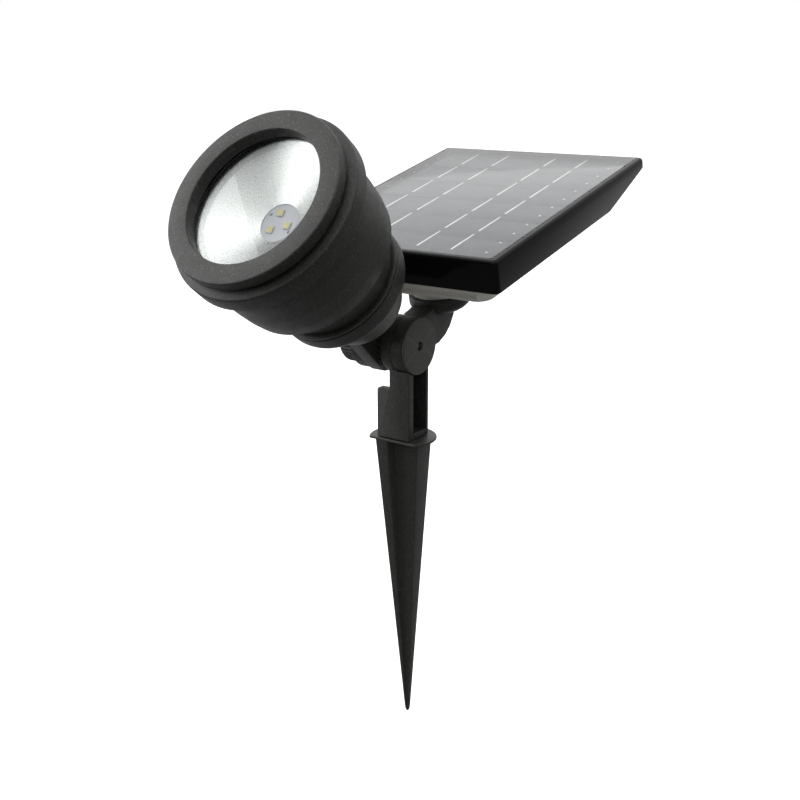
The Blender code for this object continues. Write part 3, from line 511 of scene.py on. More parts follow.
ALUMINIUM = metal("plain_aluminium", (0.77, 0.78, 0.80), 0.34)
NICKEL = metal("nickel_strip", (0.72, 0.70, 0.66), 0.26, stretch=(1.0, 1.0, 0.1))
RIBBON = metal("tinned_ribbon", (0.86, 0.86, 0.84), 0.38, stretch=(1.0, 0.1, 0.1))
REFLECTOR_FOIL = mirror_foil("reflector_foil")
LENS_CLEAR = clear_pane("lens_clear", (0.98, 0.99, 0.985), 0.02)
PANEL_GLASS = clear_pane("panel_glass_clear", (0.94, 0.95, 0.95), 0.05)
SILICON = silicon("solar_silicon")
WHITE_BOARD = board_paint("white_circuit_board", (0.74, 0.74, 0.80))
GREEN_BOARD = board_paint("green_circuit_board", (0.03, 0.18, 0.07), 0.2)
PHOSPHOR = board_paint("led_phosphor", (0.86, 0.76, 0.36))
LED_PACKAGE = board_paint("led_package", (0.80, 0.79, 0.72))
BACK_SHEET = board_paint("dark_back_sheet", (0.020, 0.022, 0.030), 0.2)


# ---------------------------------------------------------------- spike and post


def make_spike():
    """Flat flange with a straight front edge, and a Z-section blade that tapers to a point."""
    radius = 20.8 * MM
    centre_y = 1.0 * MM
    front = -11.2 * MM
    outline = []
    half_gap = math.acos((centre_y - front) / radius)
    for step in range(ROUND_STEPS + 1):
        angle = -math.pi / 2 + half_gap + (2 * math.pi - 2 * half_gap) * step / ROUND_STEPS
        outline.append((radius * math.cos(angle), centre_y + radius * math.sin(angle)))
    spike = solid("ground_spike_piece", slab(outline, 0.0, FLANGE_THICKNESS, facing_z, 0.45 * MM))
    half = 12.9 * MM
    front_y = POST_FRONT - 0.6 * MM
    back_y = 13.6 * MM
    soft = 0.7 * MM
    corners = [
        (-half, front_y, soft), (-4.0 * MM, front_y, soft),
        (-2.4 * MM, -4.6 * MM, soft), (2.4 * MM, -3.0 * MM, soft),
        (half, -2.6 * MM, soft), (half, back_y, soft), (4.0 * MM, back_y, soft), (2.4 * MM, 6.0 * MM, soft),
        (-2.4 * MM, 4.4 * MM, soft), (-half, 4.0 * MM, soft),
    ]
    section = rounded(corners, segments=4)
    tip_y = 6.4 * MM
    middle_y = 0.5 * MM
    length = -SPIKE_LOW.z
    levels = [(step / 24, 1.0 - 0.918 * step / 24) for step in range(24)]
    levels += [(0.975, 0.105), (0.988, 0.088), (0.996, 0.060), (1.0, 0.025)]
    rings = []
    for share, scale in levels:
        centre = middle_y + share * (tip_y - middle_y)
        level = 0.4 * MM - share * (length + 0.4 * MM)
        rings.append([(x * scale, centre + (y - middle_y) * scale, level) for x, y in section])
    combine(spike, "UNION", stack(rings))
    combine(spike, "UNION", block((-6.0 * MM, -5.0 * MM, 1.0 * MM), (6.0 * MM, 7.0 * MM, 4.0 * MM)))
    finish_piece(spike, POST_BLACK, "mast", ["ground_spike"])


def make_post():
    """H-section column: two thin plates, a web, a solid foot, and the hinge's middle knuckle."""
    foot = FLANGE_THICKNESS + GAP
    half = POST_HALF
    notch_z = 33.3 * MM
    notch_x = -2.6 * MM
    top = HINGE_Z - 8.0 * MM
    soft = 0.8 * MM
    plate = rounded([
        (-half, foot, 0.3 * MM), (half, foot, 0.3 * MM), (half, top, soft), (notch_x, top, soft),
        (notch_x, notch_z, soft), (-half, notch_z, 1.6 * MM),
    ])
    post = solid("post_piece", slab(plate, POST_FRONT, POST_FRONT + 5.2 * MM, facing_y, 0.5 * MM))
    combine(post, "UNION", slab(plate, POST_BACK - 2.4 * MM, POST_BACK, facing_y, 0.5 * MM))
    web = 2.6 * MM
    low = (-web, POST_FRONT + 1.0 * MM, foot + 0.3 * MM)
    combine(post, "UNION", block(low, (web, POST_BACK - 1.0 * MM, notch_z - 0.3 * MM), 0.2 * MM))
    low = (notch_x + 0.2 * MM, POST_FRONT + 1.0 * MM, notch_z - 2.0 * MM)
    combine(post, "UNION", block(low, (web, POST_BACK - 1.0 * MM, top - 0.3 * MM), 0.2 * MM))
    low = (0.25 * MM - half, POST_FRONT + 1.0 * MM, foot + 0.25 * MM)
    combine(post, "UNION", block(low, (half - 0.25 * MM, POST_BACK - 1.0 * MM, 5.8 * MM), 0.3 * MM))
    low = (0.5 * MM, POST_FRONT + 1.0 * MM, HINGE_Z - 12.0 * MM)
    combine(post, "UNION", block(low, (half - 0.25 * MM, POST_BACK - 1.0 * MM, top - 0.25 * MM), 0.3 * MM))
    room = rod(KNUCKLE_RADIUS + 0.45 * MM, KNUCKLE_RIGHT, half + 2.0 * MM, ROUND_STEPS)
    combine(post, "DIFFERENCE", room, HINGE @ ALONG_X)
    knuckle = rod(KNUCKLE_RADIUS, KNUCKLE_LEFT, KNUCKLE_RIGHT, ROUND_STEPS, 0.25 * MM)
    combine(post, "UNION", knuckle, HINGE @ ALONG_X)
    combine(post, "DIFFERENCE", rod(BOLT_BORE, -20 * MM, 20 * MM), HINGE @ ALONG_X)
    socket = 6.3 * MM
    low = (-socket, 1.0 * MM - socket, 0.0)
    combine(post, "DIFFERENCE", block(low, (socket, 1.0 * MM + socket, 4.3 * MM), 0.2 * MM))
    finish_piece(post, POST_BLACK, "mast", ["post"])


def make_disc():
    """Flat cap with a small rounded rim and a hexagon socket."""
    corners = [
        (0.0, DISC_LEFT, 0.0), (KNUCKLE_RADIUS, DISC_LEFT, 0.3 * MM), (KNUCKLE_RADIUS, DISC_RIGHT, 0.45 * MM),
        (0.0, DISC_RIGHT, 0.0),
    ]
    disc = solid("hinge_disc_piece", lathe(rounded(corners, closed=False)), HINGE @ ALONG_X)
    combine(disc, "DIFFERENCE", rod(3.2 * MM, 5.0 * MM, 30 * MM, 6), HINGE @ ALONG_X)
    finish_piece(disc, DISC_BLACK, "mast", ["hinge_disc"])


def make_knob():
    """Knurled clamp knob, hollow towards the hinge."""
    ridges = 36
    radius = 15.4 * MM
    pocket = 5.3 * MM
    corners = [
        (0.0, KNOB_LEFT, 0.0), (radius - 0.9 * MM, KNOB_LEFT, 1.8 * MM), (radius, KNOB_LEFT + 1.6 * MM, 0.8 * MM),
        (radius, KNOB_RIGHT - 0.9 * MM, 0.4 * MM), (radius - 0.9 * MM, KNOB_RIGHT, 0.3 * MM),
        (pocket, KNOB_RIGHT, 0.3 * MM), (pocket, KNOB_LEFT + 1.6 * MM, 0.0), (0.0, KNOB_LEFT + 1.6 * MM, 0.0),
    ]

    def knurl(number, angle, size, level):
        if size < radius - 0.5 * MM:
            return size, level
        valley = 0.5 - 0.5 * math.cos(ridges * angle)
        return size - 0.75 * MM * valley ** 3, level

    body = lathe(rounded(corners, closed=False), ridges * 8, shape=knurl)
    knob = solid("clamp_knob_piece", body, HINGE @ ALONG_X)
    finish_piece(knob, MATT_BLACK, "knob", ["clamp_knob"])


# ---------------------------------------------------------------- lamp head


def lamp_points(corners, closed=True, segments=6):
    """(radius, depth behind the face, fillet) in millimetres, as points of a lathe about the lamp's axis."""
    return rounded(
        [(radius * MM, LAMP_REACH - depth * MM, fillet * MM) for radius, depth, fillet in corners], closed, segments
    )


def lamp_piece(name, corners, material, node, closed=True):
    obj = solid(name, lathe(lamp_points(corners, closed), ROUND_STEPS, closed), LAMP)
    return finish_piece(obj, material, "lamp", [node])


def make_lamp_shell():
    bezel = [
        (38.6, 0.0, 0.7), (50.1, 0.0, 1.1), (50.1, 6.1, 0.5), (47.6, 6.5, 0.3), (47.6, 8.4, 0.3),
        (53.9, 9.6, 1.3), (54.0, 19.3, 0.35), (48.2, 19.3, 0), (48.2, 11.0, 0), (45.0, 11.0, 0),
        (45.0, 7.0, 0), (38.6, 7.0, 0.3),
    ]
    lamp_piece("bezel_ring_piece", bezel, BEZEL_BLACK, "bezel_ring")
    housing = [
        (47.8, 12.0, 0), (47.8, 19.6, 0), (48.8, 19.6, 0.3), (49.0, 30.0, 20), (48.8, 42.0, 20), (48.0, 52.0, 20),
        (46.7, 59.4, 0.35), (42.4, 61.4, 5), (38.9, 66.0, 6), (37.0, 72.0, 10), (36.4, 79.0, 0.2), (4.0, 79.0, 0),
        (4.0, 76.5, 0), (33.6, 76.5, 0), (34.4, 71.0, 0), (36.4, 64.6, 0), (40.4, 59.4, 0), (44.4, 56.2, 0),
        (46.0, 48.0, 0), (46.8, 30.0, 0), (46.6, 23.0, 0), (45.6, 21.0, 0), (45.6, 15.0, 0), (43.0, 14.0, 0),
        (43.0, 12.0, 0),
    ]
    lamp_piece("lamp_housing_piece", housing, MATT_BLACK, "lamp_housing")
    collar = [
        (37.8, 79.3, 0.2), (38.9, 79.6, 0.4), (38.8, 81.4, 0.4), (37.6, 81.7, 0.2), (37.6, 82.4, 0.2),
        (38.8, 82.7, 0.5), (38.5, 91.0, 4), (37.4, 93.8, 1.5), (34.8, 94.6, 0.3), (8.0, 94.6, 0), (8.0, 79.3, 0),
    ]
    lamp_piece("lamp_collar_piece", collar, MATT_BLACK, "lamp_collar")


def make_neck():
    """Hollow cone behind the collar, its offset ear and the toothed barrel on the hinge."""
    cone = [
        (0.0, 116.8, 0), (24.0, 116.8, 2.0), (25.2, 113.6, 1.0), (33.0, 94.9, 0.2), (29.8, 94.9, 0),
        (22.6, 111.8, 0), (0.0, 112.8, 0),
    ]
    neck = solid("lamp_neck_piece", lathe(lamp_points(cone, False)), LAMP)
    shift = LAMP_ORIGIN.x
    reach = LAMP_REACH - 114.4 * MM
    ear_right = KNUCKLE_LEFT - GAP
    outline = rounded([
        (-12.0 * MM, reach, 2 * MM), (12.0 * MM, reach, 2 * MM), (15.6 * MM, 6.0 * MM, 2 * MM),
        (15.6 * MM, -6.0 * MM, 2 * MM), (-15.6 * MM, -6.0 * MM, 2 * MM), (-15.6 * MM, 6.0 * MM, 2 * MM),
    ])
    web = slab(outline, -18.0 * MM - shift, ear_right - 2.0 * MM - shift, facing_x, 1.0 * MM)
    combine(neck, "UNION", web, LAMP)
    teeth = 28
    corners = [
        (0.0, BARREL_LEFT, 0), (KNUCKLE_RADIUS, BARREL_LEFT, 1.2 * MM), (KNUCKLE_RADIUS, ear_right, 0.15 * MM),
        (0.0, ear_right, 0),
    ]
    profile = rounded(corners, closed=False)

    def saw(number, angle, size, level):
        if size < KNUCKLE_RADIUS - 0.5 * MM or level < ear_right - 1.0 * MM:
            return size, level
        notch = abs((angle * teeth / (2 * math.pi)) % 1.0 - 0.5) * 2
        return size, level - 1.5 * MM * notch

    barrel = lathe(profile, teeth * 8, shape=saw)
    combine(neck, "UNION", barrel, HINGE @ ALONG_X)
    combine(neck, "DIFFERENCE", rod(BOLT_BORE, -40 * MM, 20 * MM), HINGE @ ALONG_X)
    finish_piece(neck, MATT_BLACK, "lamp", ["lamp_neck"])


def make_optics():
    lens = [(0.0, 9.8, 0), (44.6, 9.8, 0.3), (44.6, 7.3, 0.3), (0.0, 7.3, 0)]
    lamp_piece("lamp_lens_piece", lens, LENS_CLEAR, "lamp_lens", False)
    gasket = [(41.5, 10.1, 0.4), (44.6, 10.1, 0.4), (44.6, 11.6, 0.4), (41.5, 11.6, 0.4)]
    lamp_piece("lens_gasket_piece", gasket, GASKET_BLACK, "lens_gasket")
    bowl = []
    inner, outer = 11.2, 40.8
    deep, shallow = 25.8, 12.0
    for step in range(25):
        share = step / 24
        radius = inner + share * (outer - inner)
        curve = (radius ** 2 - inner ** 2) / (outer ** 2 - inner ** 2)
        bowl.append((radius, deep - (0.62 * share + 0.38 * curve) * (deep - shallow), 0))
    back = [(radius, depth + 0.9, 0) for radius, depth, _ in reversed(bowl)]
    rim = [(42.7, 12.0, 0.2), (42.7, 13.2, 0)]
    lamp_piece("reflector_piece", bowl + rim + back, REFLECTOR_FOIL, "reflector")
    make_led_board()


def make_led_board():
    """Round white board with solder pads and a screw hole, and three square light-emitting packages."""
    top = LAMP_REACH - 26.4 * MM
    corners = [(0, top - 1.6 * MM, 0), (15 * MM, top - 1.6 * MM, 0.1 * MM), (15 * MM, top, 0.15 * MM), (0, top, 0)]
    board = solid("led_board_piece", lathe(rounded(corners, closed=False), SMALL_STEPS), LAMP)
    hole_angle = math.radians(150)
    for turn in (0.0, math.pi):
        angle = hole_angle + turn
        place = Matrix.Translation((9.0 * MM * math.cos(angle), 9.0 * MM * math.sin(angle), 0))
        combine(board, "DIFFERENCE", rod(0.9 * MM, top - 1.0 * MM, top + 1.0 * MM, 24), LAMP @ place)
    finish_piece(board, WHITE_BOARD, "lamp", ["led_board"])
    for number in range(3):
        node = "led_chip_" + str(number + 1)
        middle = centre_of(node)
        local = LAMP.inverted() @ middle
        half = 2.0 * MM
        low = (local.x - half, local.y - half, local.z - 0.35 * MM)
        high = (local.x + half, local.y + half, local.z + 0.25 * MM)
        package = solid(node + "_package", block(low, high, 0.18 * MM), LAMP)
        finish_piece(package, LED_PACKAGE, "lamp", [node])
        half = 1.65 * MM
        low = (local.x - half, local.y - half, local.z + 0.1 * MM)
        high = (local.x + half, local.y + half, local.z + 0.35 * MM)
        resin = solid(node + "_resin", block(low, high, 0.1 * MM), LAMP)
        finish_piece(resin, PHOSPHOR, "lamp", [])


# ---------------------------------------------------------------- arm and panel


def make_arm():
    """Ear on the hinge, rounded heel rising behind it and the domed disc under the panel."""
    soft = 4 * MM
    heel = [
        (4.0, -4.0), (16.4, -4.0), (24.2, -2.6), (31.0, 0.8), (36.4, 5.8), (40.2, 12.0), (42.4, 18.6),
        (42.8, 25.0), (22.6, 22.9), (20.0, 21.8), (17.0, 20.2), (13.4, 18.6), (8.0, 17.0), (2.0, 16.2),
    ]
    outline = rounded([(y * MM, z * MM, soft) for y, z in heel], segments=4)
    arm_left = -4.1 * MM
    arm = solid("panel_arm_piece", slab(outline, arm_left, EAR_RIGHT, facing_x, 0.6 * MM), HINGE)
    room = rod(KNUCKLE_RADIUS + 0.45 * MM, -20 * MM, EAR_LEFT - 0.1 * MM, ROUND_STEPS)
    combine(arm, "DIFFERENCE", room, HINGE @ ALONG_X)
    ear = rod(KNUCKLE_RADIUS, EAR_LEFT, EAR_RIGHT, ROUND_STEPS, 0.12 * MM)
    combine(arm, "UNION", ear, HINGE @ ALONG_X)
    radius = 19.2 * MM
    profile = [(0.0, 5.0 * MM, 0), (radius, 5.0 * MM, 0.8 * MM), (radius, 0.3 * MM, 0)]
    for step in range(1, 9):
        angle = step / 9 * math.pi / 2
        profile.append((radius * math.cos(angle), -8.0 * MM * math.sin(angle), 0))
    profile.append((0.0, -8.0 * MM, 0))
    combine(arm, "UNION", lathe(rounded(profile, closed=False)), PANEL)
    combine(arm, "DIFFERENCE", rod(BOLT_BORE, -20 * MM, 20 * MM), HINGE @ ALONG_X)
    recess = rod(5.1 * MM, EAR_RIGHT - 2.4 * MM, 20 * MM)
    combine(arm, "DIFFERENCE", recess, HINGE @ ALONG_X)
    combine(arm, "DIFFERENCE", rod(2.3 * MM, -4 * MM, 9 * MM), PANEL)
    finish_piece(arm, MATT_BLACK, "arm", ["panel_arm"])


def screw_places():
    u = PANEL_HALF - HOUSING_SIDE - CORNER_POST / 2
    front = PANEL_FRONT + HOUSING_WALL + CORNER_POST / 2
    rear = PANEL_SLOPE - 3.0 * MM - CORNER_POST / 2
    return [(u, front), (-u, front), (u, rear), (-u, rear)]


def make_housing():
    """Glossy tray: rounded walls, a sloping rear underside and a shallow recess for the glass."""
    def ring(level, inset, rear):
        outline = rounded_rectangle(PANEL_HALF - inset, PANEL_FRONT + inset, rear - inset, PANEL_CORNER - inset)
        return [(x, y, level) for x, y in outline]

    levels = [
        (PANEL_BOTTOM, 0.6 * MM, PANEL_SLOPE), (PANEL_BOTTOM + 0.17 * MM, 0.17 * MM, PANEL_SLOPE + 0.6 * MM),
        (PANEL_BOTTOM + 0.6 * MM, 0.0, PANEL_SLOPE + 2.0 * MM), (PANEL_TOP - PANEL_LIP, 0.0, PANEL_REAR),
    ]
    for step in range(9):
        angle = step / 8 * math.pi / 2
        inset = PANEL_EDGE * (1 - math.cos(angle))
        levels.append((PANEL_TOP - PANEL_EDGE * (1 - math.sin(angle)), inset, PANEL_REAR))
    housing = solid("panel_housing_piece", stack([ring(*entry) for entry in levels]), PANEL)
    room = PANEL_HALF - PANEL_RIM
    ledge = PANEL_TOP - 5.2 * MM
    outline = rounded_rectangle(room, PANEL_FRONT + PANEL_RIM, PANEL_REAR - PANEL_RIM, 0.8 * MM)
    combine(housing, "DIFFERENCE", slab(outline, ledge, PANEL_TOP + 3 * MM, facing_z, 0.1 * MM), PANEL)
    half = PANEL_HALF - HOUSING_SIDE
    front = PANEL_FRONT + HOUSING_WALL
    rear = PANEL_SLOPE - 3.0 * MM
    step = CORNER_POST
    cross = [
        (half, front + step), (half, rear - step), (half - step, rear - step), (half - step, rear),
        (step - half, rear), (step - half, rear - step), (-half, rear - step), (-half, front + step),
        (step - half, front + step), (step - half, front), (half - step, front), (half - step, front + step),
    ]
    cavity = stack([[(x, y, z) for x, y in cross] for z in (PANEL_BOTTOM - 2 * MM, ledge + MM)])
    combine(housing, "DIFFERENCE", cavity, PANEL)
    for u, v in screw_places():
        hole = rod(1.8 * MM, PANEL_BOTTOM - 2 * MM, PANEL_BOTTOM + 9 * MM, 24)
        combine(housing, "DIFFERENCE", hole, PANEL @ Matrix.Translation((u, v, 0)))
    finish_piece(housing, PANEL_BLACK, "panel", ["panel_housing"])


def make_laminate():
    """Cover glass, six cell strips with ribbon dashes and solder dots, and the sheet behind them."""
    half = PANEL_HALF - PANEL_RIM - GAP
    front = PANEL_FRONT + PANEL_RIM + GAP
    rear = PANEL_REAR - PANEL_RIM - GAP
    top = PANEL_TOP + 0.2 * MM
    bottom = top - GLASS_THICKNESS
    outline = rounded_rectangle(half, front, rear, 0.8 * MM)
    glass = solid("panel_glass_piece", slab(outline, bottom, top, facing_z, 0.2 * MM), PANEL)
    finish_piece(glass, PANEL_GLASS, "panel", ["panel_glass"])
    back_top = bottom - 1.0 * MM
    outline = rounded_rectangle(half, front, rear, 0.8 * MM)
    sheet = solid("panel_back_sheet_piece", slab(outline, back_top - 1.2 * MM, back_top, facing_z, 0.1 * MM), PANEL)
    finish_piece(sheet, BACK_SHEET, "panel", ["panel_back_sheet"])
    side = half - 5.0 * MM
    pitch = (rear - front - 2.0 * MM) / CELL_COUNT
    cell_top = bottom - GAP
    for number in range(CELL_COUNT):
        start = front + 1.5 * MM + number * pitch
        outline = rounded_rectangle(side, start, start + pitch - 0.15 * MM, 0.2 * MM)
        wafer = slab(outline, cell_top - 0.4 * MM, cell_top, facing_z, 0.05 * MM)
        cell = solid("solar_cell_piece_" + str(number + 1), wafer, PANEL)
        finish_piece(cell, SILICON, "panel", ["solar_cell_" + str(number + 1)])
        make_ribbons(number, start, pitch, rear, cell_top)
    make_solder_dots(front, rear, cell_top)


def make_ribbons(number, start, pitch, rear, level):
    """One row of four flat ribbon dashes; the right-hand pair starts further back than the left-hand pair."""
    for place, (u, lead) in enumerate(((-45.8, 5.4), (-21.8, 5.4), (14.6, 11.2), (37.8, 11.2))):
        first = start + lead * MM
        last = min(first + pitch - 5.8 * MM, rear - 0.6 * MM)
        low = (u * MM - 0.6 * MM, first, level + 0.02 * MM)
        high = (u * MM + 0.6 * MM, last, level + 0.14 * MM)
        name = "ribbon_" + str(number + 1) + "_" + str(place + 1)
        finish_piece(solid(name, block(low, high, 0.05 * MM), PANEL), RIBBON, "panel", [])


def make_solder_dots(front, rear, level):
    """A row of small solder dots beside each end of the cells, two to a cell."""
    spacing = (rear - front) / (2 * CELL_COUNT)
    for side, u in (("left", -70.3), ("right", 60.3)):
        for number in range(2 * CELL_COUNT):
            place = Matrix.Translation((u * MM, rear - 1.8 * MM - number * spacing, 0))
            dot = rod(0.75 * MM, level + 0.02 * MM, level + 0.14 * MM, 16, 0.05 * MM)
            name = "solder_dot_" + side + "_" + str(number + 1)
            finish_piece(solid(name, dot, PANEL @ place), RIBBON, "panel", [])


def make_cover():
    """Shallow tapered pan with the deeper battery box, its swivel boss, button hole and corner notch."""
    top = PANEL_BOTTOM - GAP
    half = PANEL_HALF - 8.0 * MM
    front = PANEL_FRONT + 1.6 * MM
    rear = PANEL_SLOPE - 1.0 * MM
    taper = 3.2 * MM
    corner = 8.0 * MM
    wall = 2.0 * MM
    box_half = 20.5 * MM
    box_front = -20.0 * MM
    box_rear = 76.0 * MM

    def pan(level, inset):
        return [(x, y, level) for x, y in rounded_rectangle(half - inset, front + inset, rear - inset, corner)]

    def well(level, inset):
        outline = rounded_rectangle(box_half - inset, box_front + inset, box_rear - inset, 4 * MM)
        return [(x, y, level) for x, y in outline]

    outside = [
        pan(top, 0.0), pan(PAN_FLOOR + 0.7 * MM, taper - 0.9 * MM), pan(PAN_FLOOR + 0.2 * MM, taper),
        pan(PAN_FLOOR, taper + 1.0 * MM), well(PAN_FLOOR, -0.4 * MM), well(PAN_FLOOR - 0.4 * MM, 0.0),
        well(BOX_FLOOR + 1.4 * MM, 1.1 * MM), well(BOX_FLOOR + 0.4 * MM, 1.5 * MM), well(BOX_FLOOR, 2.4 * MM),
    ]
    inside = [
        well(BOX_FLOOR + wall, 1.2 * MM + wall), well(PAN_FLOOR + wall, wall), pan(PAN_FLOOR + wall, taper + wall),
        pan(top, wall),
    ]
    mesh_data = bmesh.new()
    outer = [[mesh_data.verts.new(point) for point in ring] for ring in outside]
    inner = [[mesh_data.verts.new(point) for point in ring] for ring in inside]
    bridge(mesh_data, outer)
    mesh_data.faces.new(outer[-1])
    bridge(mesh_data, inner + [outer[0]])
    mesh_data.faces.new(inner[0])
    cover = solid("battery_cover_piece", mesh_data, PANEL)
    boss = rod(16.6 * MM, 5.3 * MM, BOX_FLOOR + 0.5 * MM, ROUND_STEPS, 0.4 * MM)
    combine(cover, "UNION", boss, PANEL)
    combine(cover, "DIFFERENCE", rod(2.3 * MM, 0, 20 * MM), PANEL)
    button = Matrix.Translation((0, 62.0 * MM, 0))
    combine(cover, "DIFFERENCE", rod(5.3 * MM, 0, 20 * MM), PANEL @ button)
    for u, v in screw_places():
        hole = rod(1.8 * MM, PAN_FLOOR - 3 * MM, PAN_FLOOR + 4 * MM, 24)
        place = PANEL @ Matrix.Translation((u, v, 0))
        combine(cover, "DIFFERENCE", hole, place)
        seat = rod(3.2 * MM, PAN_FLOOR - MM, PAN_FLOOR + 1.2 * MM, 48)
        combine(cover, "DIFFERENCE", seat, place)
    low = (half - 13.0 * MM, front - 3.0 * MM, PAN_FLOOR + 2.4 * MM)
    high = (half - 8.0 * MM, front + 1.7 * MM, PAN_FLOOR + 5.0 * MM)
    combine(cover, "DIFFERENCE", block(low, high, 0.3 * MM), PANEL)
    finish_piece(cover, COVER_GREY, "panel", ["battery_cover"])


def make_cover_screws():
    """Pan-head screws with a cross recess."""
    for number, (u, v) in enumerate(screw_places()):
        under = PAN_FLOOR + 0.9 * MM
        corners = [
            (0.0, under - 1.1 * MM, 0), (2.9 * MM, under - 1.1 * MM, 0.6 * MM), (2.9 * MM, under, 0.1 * MM),
            (1.5 * MM, under, 0), (1.5 * MM, PANEL_BOTTOM + 8 * MM, 0.3 * MM), (0.0, PANEL_BOTTOM + 8 * MM, 0),
        ]
        place = PANEL @ Matrix.Translation((u, v, 0))
        node = "cover_screw_" + str(number + 1)
        screw = solid(node + "_piece", lathe(rounded(corners, closed=False), 48), place)
        arm = 1.7 * MM
        for low, high in (((-arm, -0.35 * MM), (arm, 0.35 * MM)), ((-0.35 * MM, -arm), (0.35 * MM, arm))):
            recess = block((*low, under - 3 * MM), (*high, under - 0.5 * MM), 0.08 * MM)
            combine(screw, "DIFFERENCE", recess, place)
        finish_piece(screw, ZINC_STEEL, "panel", [node])


def make_button():
    """Rubber push button with a dished end."""
    radius = 5.0 * MM
    corners = [
        (0.0, 6.5 * MM, 0), (3.4 * MM, 6.3 * MM, 1.0 * MM),
        (3.9 * MM, 6.0 * MM, 0.4 * MM), (radius, 6.0 * MM, 0.8 * MM),
        (radius, 10.5 * MM, 0), (radius + 1.2 * MM, 10.5 * MM, 0.2 * MM), (radius + 1.2 * MM, 11.6 * MM, 0.2 * MM),
        (2.0 * MM, 11.6 * MM, 0), (2.0 * MM, 13.4 * MM, 0.2 * MM), (0.0, 13.4 * MM, 0),
    ]
    place = PANEL @ Matrix.Translation((0, 62.0 * MM, 0))
    button = solid("power_button_piece", lathe(rounded(corners, closed=False), SMALL_STEPS), place)
    finish_piece(button, BUTTON_GREY, "button", ["power_button"])


def dress_kept_nodes():
    """Carried-over CAD nodes get their finish here."""
    finishes = {
        "hinge_bolt": (ZINC_STEEL, "zinc_steel"),
        "knob_insert": (BRASS, "brass_insert"),
        "heat_sink": (ALUMINIUM, "sink_aluminium"),
        "swivel_screw": (ZINC_STEEL, "zinc_steel"),
        "battery_cell": (BATTERY_WRAP, "cell_wrap"),
        "contact_negative": (NICKEL, "nickel"),
        "contact_positive": (NICKEL, "nickel"),
        "control_board": (GREEN_BOARD, "circuit_board"),
        "switch_body": (SWITCH_BLACK, "switch_plastic"),
    }
    for node, (material, slot) in finishes.items():
        obj = frame["nodes"][node]
        obj.data.materials.clear()
        obj.data.materials.append(material)


# ---------------------------------------------------------------- stage, light and camera


def make_floor():
    extent = 6.0
    mesh_data = bmesh.new()
    corners = [(-extent, -extent, 0), (extent, -extent, 0), (extent, extent, 0), (-extent, extent, 0)]
    mesh_data.faces.new([mesh_data.verts.new(corner) for corner in corners])
    floor = solid("floor", mesh_data, Matrix.Translation((0, 0, SPIKE_LOW.z - 0.5 * MM)))
    floor.data.materials.append(floor_material())
    floor.visible_diffuse = False
    floor.visible_glossy = False


def area_light(name, azimuth, elevation, distance, size, radiance):
    """Soft box aimed at the light, seen from the given azimuth and elevation."""
    lamp = bpy.data.lights.new(name, "AREA")
    lamp.shape = "RECTANGLE"
    lamp.size, lamp.size_y = size
    lamp.energy = radiance * math.pi * size[0] * size[1]
    obj = bpy.data.objects.new(name, lamp)
    bpy.context.scene.collection.objects.link(obj)
    a = math.radians(azimuth)
    e = math.radians(elevation)
    back = Vector((math.sin(a) * math.cos(e), -math.cos(a) * math.cos(e), math.sin(e)))
    obj.location = Vector((0.0, 0.0, 0.08)) + back * distance
    obj.rotation_mode = "QUATERNION"
    obj.rotation_quaternion = (-back).to_track_quat("-Z", "Y")
    return obj


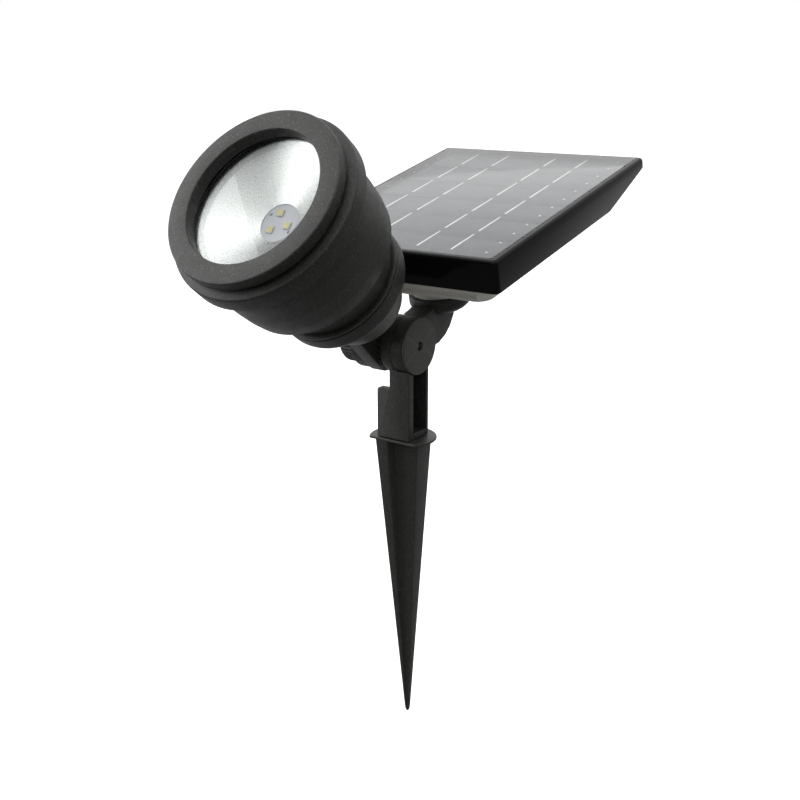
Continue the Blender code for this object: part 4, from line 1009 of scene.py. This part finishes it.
def make_world():
    """Soft studio surround: bright above and behind, dim on the camera's side."""
    world = bpy.data.worlds.new("studio")
    bpy.context.scene.world = world
    world.use_nodes = True
    tree = world.node_tree
    background = tree.nodes["Background"]
    direction = shader_node(tree, "ShaderNodeTexCoord").outputs["Generated"]
    parts = shader_node(tree, "ShaderNodeSeparateXYZ", {"Vector": direction}).outputs
    above = remap(tree, parts["Z"], 0.0, 1.0, 0.05, 0.75)
    behind = shader_node(
        tree, "ShaderNodeVectorMath", {0: direction, 1: (-0.55, 0.80, 0.0)}, operation="DOT_PRODUCT"
    ).outputs["Value"]
    back_glow = remap(tree, behind, 0.0, 1.0, 0.1, 0.9)
    level = shader_node(tree, "ShaderNodeMath", {0: above, 1: 0.75}, operation="MULTIPLY").outputs["Value"]
    level = shader_node(
        tree, "ShaderNodeMath", {0: back_glow, 1: 0.52, 2: level}, operation="MULTIPLY_ADD"
    ).outputs["Value"]
    level = shader_node(tree, "ShaderNodeMath", {0: level, 1: 0.15}, operation="ADD").outputs["Value"]
    tree.links.new(level, background.inputs["Strength"])
    background.inputs["Color"].default_value = (1.0, 1.0, 1.0, 1.0)
    white = shader_node(tree, "ShaderNodeBackground", {"Color": (1.0, 1.0, 1.0, 1.0), "Strength": 1.0})
    seen = shader_node(tree, "ShaderNodeLightPath").outputs["Is Camera Ray"]
    mixed = shader_node(
        tree, "ShaderNodeMixShader", {0: seen, 1: background.outputs["Background"], 2: white.outputs["Background"]}
    )
    tree.links.new(mixed.outputs["Shader"], tree.nodes["World Output"].inputs["Surface"])


def make_lights():
    area_light("top_soft_box", 0, 84, 1.3, (1.3, 1.3), 0.62)
    area_light("left_soft_box", -70, 18, 1.3, (1.9, 1.2), 2.1)
    area_light("back_left_soft_box", 223, 38, 1.6, (1.3, 1.0), 0.30)


def make_camera():
    data = bpy.data.cameras.new("camera")
    data.sensor_width = 36.0
    data.lens = 52.8
    data.clip_start = 0.01
    camera = bpy.data.objects.new("camera", data)
    bpy.context.scene.collection.objects.link(camera)
    camera.location = (0.3935, -0.5643, 0.2272)
    camera.rotation_euler = (math.radians(73.58), 0.0, math.radians(35.0))
    bpy.context.scene.camera = camera


make_spike()
make_post()
make_disc()
make_knob()
make_lamp_shell()
make_neck()
make_optics()
make_arm()
make_housing()
make_laminate()
make_cover()
make_cover_screws()
make_button()
dress_kept_nodes()
make_floor()
make_world()
make_lights()
make_camera()
bpy.context.scene.view_settings.view_transform = "Standard"
